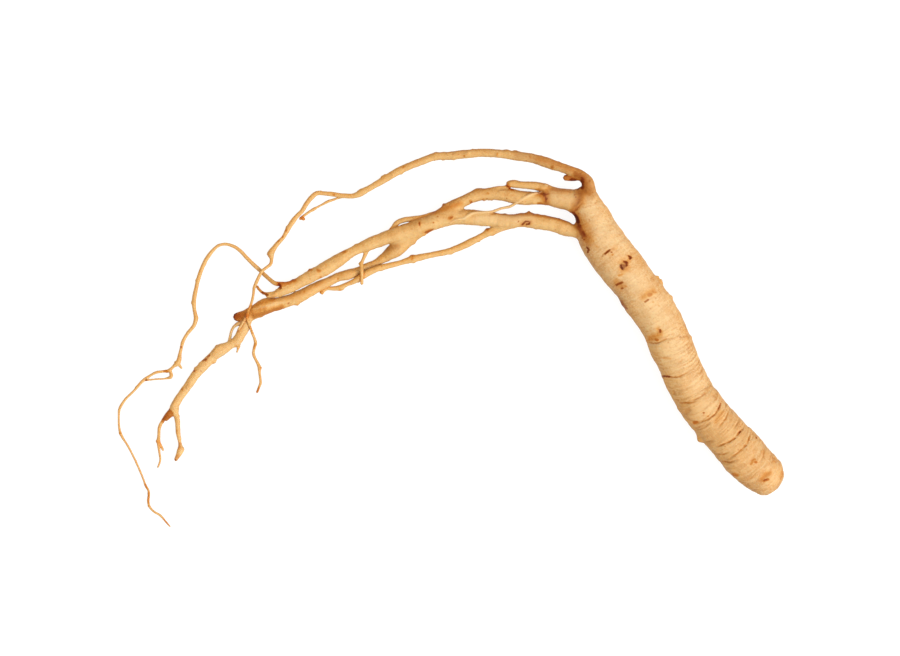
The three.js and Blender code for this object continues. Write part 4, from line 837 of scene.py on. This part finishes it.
        # thin sharp creases, all round
        sharp = bell(self.grain(CREASE_GRAIN, seed=7), SHARP_WIDTH)
        sharp *= smoothstep(-0.3, 0.5, speckle(self.points, size=5.0, seed=8))
        sharp *= self.plain * crowd * thick
        height -= shape.creases * SHARP_DEPTH * sharp
        self.crease = 0.3 * sharp
        height += shape.creases * self.creases()
        for x, y, z, reach, rise in BUMPS:
            near = np.linalg.norm(self.points - (x, y, z), axis=1) / reach
            height += rise * np.exp(-near * near)
        return height

    def lumps(self, thick, slim):
        """Soft lumps of four sizes. The smaller ones are lower on the thinnest strands."""
        soft = 0.4 + 0.6 * smoothstep(0.5, 1.2, self.girth)
        fine = slim * (0.02 + 0.04 * smoothstep(0.6, 1.8, self.girth))
        return (
            0.17 * thick * speckle(self.points, size=7.0, seed=1)
            + soft * (0.06 + 0.05 * thick) * speckle(self.points, size=2.6, seed=2)
            + soft * 0.04 * speckle(self.points, size=1.2, seed=3)
            + fine * speckle(self.points, size=0.9, seed=4)
        )

    def creases(self):
        """Height of the creases in the table, each a cut with a lip along both edges."""
        height = np.zeros(len(self.points))
        wander = 0.12 * speckle(self.points, size=1.0, seed=9)
        patchy = np.clip(0.7 + 0.45 * speckle(self.points, size=1.8, seed=13), 0.75, 1.1)
        for depth, half, dark, *line in CREASES:
            reach = np.abs(plan_distance(self.points, line) + wander)
            inner = smoothstep(0.0, 2.5, self.end_distance(line))
            cut = bell(reach, half) * self.upper * (0.35 + 0.65 * inner)
            lip = bell(reach - 2.2 * half, 0.9 * half) * self.upper
            height += 0.25 * depth * lip - 1.25 * depth * cut
            tint = bell(reach, 0.8 * half) * self.upper * (0.2 + 0.8 * inner)
            self.crease = np.maximum(self.crease, 1.25 * dark * tint * patchy)
        return height

    def end_distance(self, line):
        """Distance in plan to the nearer end of a line."""
        ends = np.array([line[0], line[-1]], float)
        flat = self.points[:, None, :2] - ends[None, :, :]
        return np.linalg.norm(flat, axis=2).min(axis=1)

    def stains(self):
        """Strength of each kind of stain at each point, with the painted highlights among the pale
        ones.
        """
        found = np.zeros((len(self.points), len(STAINS_AND_HIGHLIGHTS)))
        ragged = 0.5 * speckle(self.points, size=0.7, seed=10)
        ragged += 0.5 * speckle(self.points, size=1.6, seed=11)
        for k, (kind, rows) in enumerate(STAINS_AND_HIGHLIGHTS.items()):
            for half, strength, *line in rows:
                reach = plan_distance(self.points, line) / half
                if kind == "bark":
                    spot = 1.0 - smoothstep(0.6, 1.3, reach + 0.35 * ragged)
                else:
                    fall = STEEP_FALL if half < SMALL_STAIN else SOFT_FALL
                    spot = np.exp(-0.6 * np.maximum(reach + 0.3 * ragged, 0.0) ** fall)
                found[:, k] = np.maximum(found[:, k], spot * (strength * self.upper))
            for name, strength in DRESSED.get(kind, {}).items():
                mine = self.owner == NAMES.index(name)
                dressed = strength * (0.8 + 0.3 * ragged[mine])
                found[mine, k] = np.maximum(found[mine, k], dressed)
            if kind == "rust":
                found[:, k] = np.maximum(found[:, k], KNOT_RUST * self.knots)
        return np.clip(found, 0.0, 1.0)


def bell(distance, width):
    return np.exp(-((distance / width) ** 2))


def grown_mesh(shape):
    """The whole root's skin as one closed mesh in metres, with what its material reads."""
    skeleton = Skeleton()
    mesh = joined_mesh([strand_object(strand) for strand in skeleton.strands])
    mesh.name = NODE
    bm = bmesh.new()
    bm.from_mesh(mesh)
    fill_forks(bm, skeleton, shape.fork_passes)
    skin = Skin(bm, skeleton)
    height = skin.relief(shape)
    grown = skin.points + skin.normals * height[:, None]
    # the skin stays inside the solid's box, and may touch its underside
    low, high = np.array(CAD_BOX) / MM
    grown = np.clip(grown, low + BOX_MARGIN * (1.0 - UP), high - BOX_MARGIN)
    place(bm.verts, grown * MM)
    bmesh.ops.triangulate(bm, faces=[face for face in bm.faces if len(face.verts) > 4])
    for face in bm.faces:
        face.smooth = True
        face.material_index = 0
    bm.to_mesh(mesh)
    bm.free()
    mesh.materials.clear()
    write_attribute(mesh, "unbent", "FLOAT_VECTOR", "vector", skin.unbent)
    write_attribute(mesh, "stains", "FLOAT_COLOR", "color", skin.stains())
    for name in SKIN_VALUES:
        write_attribute(mesh, name, "FLOAT", "value", getattr(skin, name))
    return mesh


def write_attribute(mesh, name, kind, field, values):
    layer = mesh.attributes.new(name, kind, "POINT")
    layer.data.foreach_set(field, np.ascontiguousarray(values, dtype=np.float32).ravel())


def maths(operation, swapped=False):
    """A method that makes a maths node of a wire and, if there is one, the other value."""

    def method(self, *other):
        values = (*other, self) if swapped else (self, *other)
        return self.shader.make(
            "ShaderNodeMath", {"operation": operation}, dict(enumerate(values))
        )

    return method


class Wire:
    """One output of a shader node. Sums and products of wires make the maths nodes."""

    __add__ = __radd__ = maths("ADD")
    __mul__ = __rmul__ = maths("MULTIPLY")
    __sub__ = maths("SUBTRACT")
    __rsub__ = maths("SUBTRACT", swapped=True)
    __abs__ = maths("ABSOLUTE")

    def __init__(self, shader, socket):
        self.shader = shader
        self.socket = socket

    def between(self, low, high):
        """0 below low, 1 above high, smooth in between (or falling, if low is above high)."""
        if low > high:
            return 1.0 - self.between(high, low)
        return self.shader.make(
            "ShaderNodeMapRange",
            {"interpolation_type": "SMOOTHSTEP"},
            {"Value": self, "From Min": low, "From Max": high},
        )


class Shader:
    """A material's node tree, with one method for making any node in it."""

    def __init__(self, name):
        self.material = bpy.data.materials.new(name)
        self.material.use_nodes = True
        self.tree = self.material.node_tree
        self.tree.nodes.clear()

    def make(self, kind, settings=None, values=None, output=0):
        node = self.tree.nodes.new(kind)
        for name, value in (settings or {}).items():
            setattr(node, name, value)
        for name, value in (values or {}).items():
            if isinstance(value, Wire):
                self.tree.links.new(value.socket, node.inputs[name])
            else:
                node.inputs[name].default_value = value
        return Wire(self, node.outputs[output]) if node.outputs else None

    def attribute(self, name, output="Fac"):
        return self.make("ShaderNodeAttribute", {"attribute_name": name}, output=output)

    def noise(self, vector, scale, detail=2.0):
        values = {"Vector": vector, "Scale": scale, "Detail": detail}
        return self.make("ShaderNodeTexNoise", None, values)

    def stretch(self, vector, factors):
        values = {0: vector, 1: factors}
        return self.make("ShaderNodeVectorMath", {"operation": "MULTIPLY"}, values)

    def mix(self, amount, first, second, blend="MIX"):
        settings = {"data_type": "RGBA", "blend_type": blend}
        # the Mix node's colour sockets: A is number 6, B is number 7, the result is number 2
        return self.make("ShaderNodeMix", settings, {0: amount, 6: first, 7: second}, 2)

    def finish(self, values, settings=None):
        """Ends the tree with a Principled surface, and hands over the material."""
        surface = self.make("ShaderNodeBsdfPrincipled", settings, values)
        self.make("ShaderNodeOutputMaterial", None, {"Surface": surface})
        return self.material


def skin_material(skin):
    """Moist cream-tan skin with orange-brown flecks, fine cross lines and stains, and with painted
    shade and painted highlights set by the way its sides face the lights.
    """
    shader = Shader(SLOT)
    place_in = shader.make("ShaderNodeTexCoord", output="Object")
    here = shader.stretch(place_in, (1.0 / MM,) * 3)
    unbent = shader.attribute("unbent", "Vector")
    bark = shader.make(
        "ShaderNodeSeparateColor", None, {"Color": shader.attribute("stains", "Color")}
    )
    rust, plum = (Wire(shader, bark.socket.node.outputs[k]) for k in (1, 2))
    pale = shader.attribute("stains", "Alpha")
    crease = shader.attribute("crease")
    girth = shader.attribute("girth")
    along = shader.make("ShaderNodeSeparateXYZ", None, {"Vector": unbent})

    # what follows a strand's length fades out where two strands meet
    clear = 1.0 - shader.attribute("seam")
    thin = girth.between(2.4, 0.6)
    slender = girth.between(4.5, 2.5)
    stout = girth.between(3.2, 5.0)
    ringed = stout * (0.3 + 0.7 * along.between(44.0, 62.0))
    # painted shade on the side turned from the key light, on the thinner strands
    painted_shade = shader.attribute("painted_shade").between(0.15, 0.95) * slender
    # painted highlight on the side facing the key light, on the thinner strands
    painted_highlight = shader.attribute("painted_highlight").between(0.45, 0.95) * slender
    # painted shade where strands touch
    painted_contact_shade = shader.attribute("painted_contact_shade").between(0.35, 0.95)

    blotches = shader.noise(here, 0.16, 3.0)
    clouds = shader.noise(here, 0.42, 4.0)
    grain = shader.noise(here, 1.5, 4.0)
    specks = shader.noise(here, 2.4, 2.0)
    lines, streaks, cuts, hairs = (
        shader.noise(shader.stretch(unbent, fineness), 1.0, detail)
        for fineness, detail in (LINES, STREAKS, CUTS, HAIRS)
    )
    cut = abs(cuts - 0.5).between(0.035, 0.004) * grain.between(0.35, 0.6) * clear
    flecks = shader.make(
        "ShaderNodeTexVoronoi", None, {"Vector": here, "Scale": 0.5, "Randomness": 1.0}, "Distance"
    )
    dots = flecks.between(0.2, 0.09) * shader.noise(here, 0.35, 1.0).between(0.45, 0.6)

    layers = (
        (clouds.between(0.5, 0.68) * (0.15 + 0.25 * stout), skin.pale),
        (thin * 0.6, skin.rootlet),
        (streaks.between(0.5, 0.72) * (0.25 + 0.3 * ringed) * clear, skin.orange),
        (lines.between(0.52, 0.66) * (0.1 + 0.8 * ringed) * clear, skin.orange),
        (lines.between(0.48, 0.34) * (0.1 + 0.75 * ringed) * clear, skin.pale),
        (cut * (0.12 + 0.88 * ringed), skin.ring, "MULTIPLY"),
        (hairs.between(0.52, 0.7) * 0.3 * clear, skin.pale),
        (grain.between(0.48, 0.72) * (0.65 - 0.45 * thin), skin.orange),
        (specks.between(0.52, 0.68) * (0.6 - 0.45 * thin), skin.pale),
        # painted shade, browner, on the side turned from the key light
        (painted_shade * 0.65, skin.painted_shade_brown),
        # painted highlight on the side facing the key light
        (painted_highlight * 0.5, skin.pale),
        # painted highlight on top, a little stronger on the thick strands
        (shader.attribute("painted_top_highlight") * (0.2 + 0.08 * stout), skin.pale),
        # painted fill light on the shaded side
        (shader.attribute("painted_fill") * 0.5, skin.bright),
        # painted shade on the sides, warmer and darker
        (shader.attribute("painted_side_shade"), skin.painted_side_shade, "MULTIPLY"),
        (along.between(48.0, 85.0) * stout * 0.4, skin.tan),
        (girth.between(5.0, 3.0), skin.slim, "MULTIPLY"),
        (dots * (1.0 - 0.5 * stout - 0.7 * thin), skin.scab, "MULTIPLY"),
        # painted shade where strands touch
        (painted_contact_shade * 0.9, skin.painted_contact_tint, "MULTIPLY"),
        (rust.between(0.0, 0.6), skin.amber, "MULTIPLY"),
        (rust.between(0.3, 1.0), skin.rust, "MULTIPLY"),
        (plum, skin.plum, "MULTIPLY"),
        (crease.between(0.0, 0.6), skin.amber, "MULTIPLY"),
        (crease, skin.furrow, "MULTIPLY"),
        (bark.between(0.0, 0.5), skin.scab, "MULTIPLY"),
        (bark * bark, skin.bark, "MULTIPLY"),
        # pale stains, some of them painted highlights and one a painted glint
        (pale * (1.0 - bark), skin.pale),
    )
    colour = shader.mix(blotches.between(0.35, 0.65), tuple(skin.cream), tuple(skin.tan))
    for amount, tint, *blend in layers:
        colour = shader.mix(amount, colour, tuple(tint), *blend)

    relief = (
        (lines - 0.5) * (0.06 + 0.26 * ringed) * clear
        + (streaks - 0.5) * (0.3 - 0.2 * thin) * clear
        + grain * (0.12 - 0.08 * thin)
        + shader.noise(here, 4.0, 3.0) * 0.05
        - crease * 0.1
    )
    bump = shader.make(
        "ShaderNodeBump", None, {"Strength": skin.bump, "Distance": MM, "Height": relief}
    )
    values = {
        "Base Color": colour,
        "Roughness": skin.roughness + 0.18 * (grain - 0.5) + 0.15 * bark,
        "Normal": bump,
        "IOR": 1.4,
        "Specular IOR Level": 0.12,
        "Subsurface Weight": skin.glow,
        "Subsurface Radius": (1.0, 0.5, 0.22),
        "Subsurface Scale": skin.depth * MM,
    }
    return shader.finish(values, {"subsurface_method": "RANDOM_WALK"})


def floor_material(studio):
    """Matt white paper that glows a little, so that shadows on it stay faint."""
    values = {
        "Base Color": PAPER,
        "Roughness": 1.0,
        "Specular IOR Level": 0.0,
        "Emission Color": WHITE,
        "Emission Strength": studio.floor_glow,
    }
    return Shader("white_paper").finish(values)


def floor_object(side):
    """A square floor, with its middle at the origin."""
    mesh = bpy.data.meshes.new("floor")
    bm = bmesh.new()
    bmesh.ops.create_grid(bm, x_segments=1, y_segments=1, size=side / 2.0)
    bm.to_mesh(mesh)
    bm.free()
    return linked("floor", mesh)


def sun(name, strength, spread, aim):
    """A soft far-off white light that shines along aim."""
    light = bpy.data.lights.new(name, "SUN")
    light.energy = strength
    light.angle = spread
    linked(name, light).rotation_euler = Vector(aim).to_track_quat("-Z", "Y").to_euler()


def tone(red, green, blue):
    """The colour that looks like these 0 to 255 screen values in the studio's light."""
    shares = (channel / 255.0 for channel in (red, green, blue))
    return tuple(((c + 0.055) / 1.055) ** 2.4 / STUDIO_LIGHT for c in shares)


def number_prop(name, description, default, **limits):
    """A number that can be set, and is never negative."""
    limits.setdefault("min", 0.0)
    return FloatProperty(name=name, description=description, default=default, **limits)


def factor_prop(name, description, default):
    return number_prop(name, description, default, max=1.0, subtype="FACTOR")


def colour_prop(name, description, default):
    return FloatVectorProperty(
        name=name, description=description, subtype="COLOR", size=4, default=(*default, 1.0)
    )


class GinsengShape(bpy.types.PropertyGroup):
    """How rough the root's skin is grown."""

    lumps: number_prop("Lumps", "How strong the soft lumps are, where 1 is as grown", 1.0, max=3.0)
    knots: number_prop("Knots", "How high the rootlets' small knots are, where 1 is as grown", 1.0)
    rings: number_prop("Rings", "Height of the soft rings round the body, in millimetres", 0.09)
    creases: number_prop("Creases", "How deep the creases are, where 1 is as grown", 1.0, max=3.0)
    fork_passes: IntProperty(
        name="Fork passes", description="Smoothing passes in the hollows between strands",
        default=4, min=1, max=12,
    )


class GinsengSkin(bpy.types.PropertyGroup):
    """Colours and finish of the root's skin."""

    cream: colour_prop("Cream", "Lighter body colour", tone(250, 206, 148))
    tan: colour_prop("Tan", "Deeper body colour", tone(236, 180, 114))
    rootlet: colour_prop("Rootlet", "Colour of the thin rootlets", tone(242, 190, 122))
    orange: colour_prop("Orange", "Fine cross lines and grain", tone(212, 150, 82))
    # also the colour of the painted highlights
    pale: colour_prop("Pale", "Palest flecks and lines", tone(255, 224, 174))
    # painted shade: the browner side of the strands, turned from the key light
    painted_shade_brown: colour_prop("Earth", "Browner side of the rootlets", tone(206, 134, 62))
    ring: colour_prop("Ring", "Fine wrinkles round the body", (0.72, 0.5, 0.3))
    furrow: colour_prop("Furrow", "Bottom of the creases", (0.6, 0.42, 0.28))
    rust: colour_prop("Rust", "Orange-brown stains", (0.73, 0.52, 0.34))
    amber: colour_prop("Amber", "Edges of stains and creases", (0.9, 0.67, 0.36))
    scab: colour_prop("Scab", "Dots, and the edges of dark scars", (0.66, 0.36, 0.16))
    # painted shade: warmer, darker tint of the sides
    painted_side_shade: colour_prop("Flank", "Warmer tint of the sides", (1.0, 0.9, 0.7))
    # painted shade: tint where strands touch
    painted_contact_tint: colour_prop("Crevice", "Tint where strands touch", (1.0, 0.72, 0.42))
    # painted fill light: lighter tint of the shaded side
    bright: colour_prop("Bright", "Clean outer side of some rootlets", (0.62, 0.36, 0.11))
    slim: colour_prop("Slim", "Deeper tint of all but the main body", (0.93, 0.86, 0.7))
    plum: colour_prop("Plum", "Purple-grey scars", (0.42, 0.25, 0.22))
    bark: colour_prop("Bark", "Darkest stains and creases", (0.3, 0.15, 0.1))
    roughness: factor_prop("Roughness", "Roughness of the moist skin", 0.5)
    bump: factor_prop("Bump", "Strength of the finest relief", 0.8)
    glow: factor_prop("Glow", "How much light passes through the skin", 0.2)
    depth: number_prop("Depth", "How far light travels in the flesh, in millimetres", 1.2)


class GinsengStudio(bpy.types.PropertyGroup):
    """The pale studio: floor, lights and camera."""

    floor_side: number_prop("Floor side", "Side of the square floor", 4.0, min=0.1, unit="LENGTH")
    floor_glow: number_prop("Floor glow", "Light from the floor, to keep shadows faint", 0.87)
    key: number_prop("Key light", "Strength of the main light", 3.75)
    top: number_prop("Top light", "Strength of the light overhead", 1.2)
    key_spread: number_prop(
        "Light spread", "Angle over which each light is spread", 0.8, subtype="ANGLE"
    )
    fill: number_prop("Fill light", "Brightness of the sky all round", 0.88)
    lens: number_prop(
        "Lens", "Focal length, in millimetres", 401.0, min=1.0, subtype="DISTANCE_CAMERA"
    )
    camera_height: number_prop(
        "Camera height", "Height of the camera over the floor", 3.007, min=0.1, unit="LENGTH"
    )
    camera_centre: FloatVectorProperty(
        name="Camera centre", description="Point on the floor under the camera", size=2,
        unit="LENGTH", default=(-0.0002, 0.00295),
    )


class GINSENG_OT_grow_root(bpy.types.Operator):
    """Grow the ginseng root and give it its skin"""

    bl_idname = "ginseng.grow_root"
    bl_label = "Grow Root"

    def execute(self, context):
        mesh = grown_mesh(context.scene.ginseng_shape)
        mesh.materials.append(skin_material(context.scene.ginseng_skin))
        root = linked(NODE + "_grown", mesh)
        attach(root, BODY)
        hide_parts(NODE)
        return {"FINISHED"}


class GINSENG_OT_set_studio(bpy.types.Operator):
    """Set up the pale floor, the soft lights and the camera"""

    bl_idname = "ginseng.set_studio"
    bl_label = "Set Studio"

    def execute(self, context):
        scene = context.scene
        studio = scene.ginseng_studio
        floor = floor_object(studio.floor_side)
        floor.data.materials.append(floor_material(studio))
        sun("key", studio.key, studio.key_spread, KEY_AIM)
        sun("top", studio.top, studio.key_spread, TOP_AIM)
        world = bpy.data.worlds.new("studio")
        world.use_nodes = True
        background = world.node_tree.nodes["Background"]
        background.inputs["Color"].default_value = WARM_SKY
        background.inputs["Strength"].default_value = studio.fill
        scene.world = world
        scene.view_settings.view_transform = "Standard"
        lens = bpy.data.cameras.new("camera")
        lens.lens = studio.lens
        lens.clip_end = VIEW_RANGE
        camera = linked("camera", lens)
        camera.location = (*studio.camera_centre, studio.camera_height)
        scene.camera = camera
        return {"FINISHED"}


class GINSENG_PT_panel(bpy.types.Panel):
    """Buttons and settings for the ginseng root"""

    bl_label = "Ginseng Root"
    bl_idname = "GINSENG_PT_panel"
    bl_space_type = "VIEW_3D"
    bl_region_type = "UI"
    bl_category = "Ginseng"

    def draw(self, context):
        layout = self.layout
        scene = context.scene
        for operator, groups in (
            (GINSENG_OT_grow_root, (scene.ginseng_shape, scene.ginseng_skin)),
            (GINSENG_OT_set_studio, (scene.ginseng_studio,)),
        ):
            box = layout.box()
            for group in groups:
                for name in group.__annotations__:
                    box.prop(group, name)
            box.operator(operator.bl_idname)


GROUPS = {
    "ginseng_shape": GinsengShape, "ginseng_skin": GinsengSkin, "ginseng_studio": GinsengStudio
}
CLASSES = (*GROUPS.values(), GINSENG_OT_grow_root, GINSENG_OT_set_studio, GINSENG_PT_panel)


def register():
    for cls in CLASSES:
        bpy.utils.register_class(cls)
    for name, group in GROUPS.items():
        setattr(bpy.types.Scene, name, PointerProperty(type=group))


def unregister():
    for name in GROUPS:
        delattr(bpy.types.Scene, name)
    for cls in reversed(CLASSES):
        bpy.utils.unregister_class(cls)


def main():
    register()
    bpy.ops.ginseng.grow_root()
    bpy.ops.ginseng.set_studio()


if __name__ == "__main__":
    main()
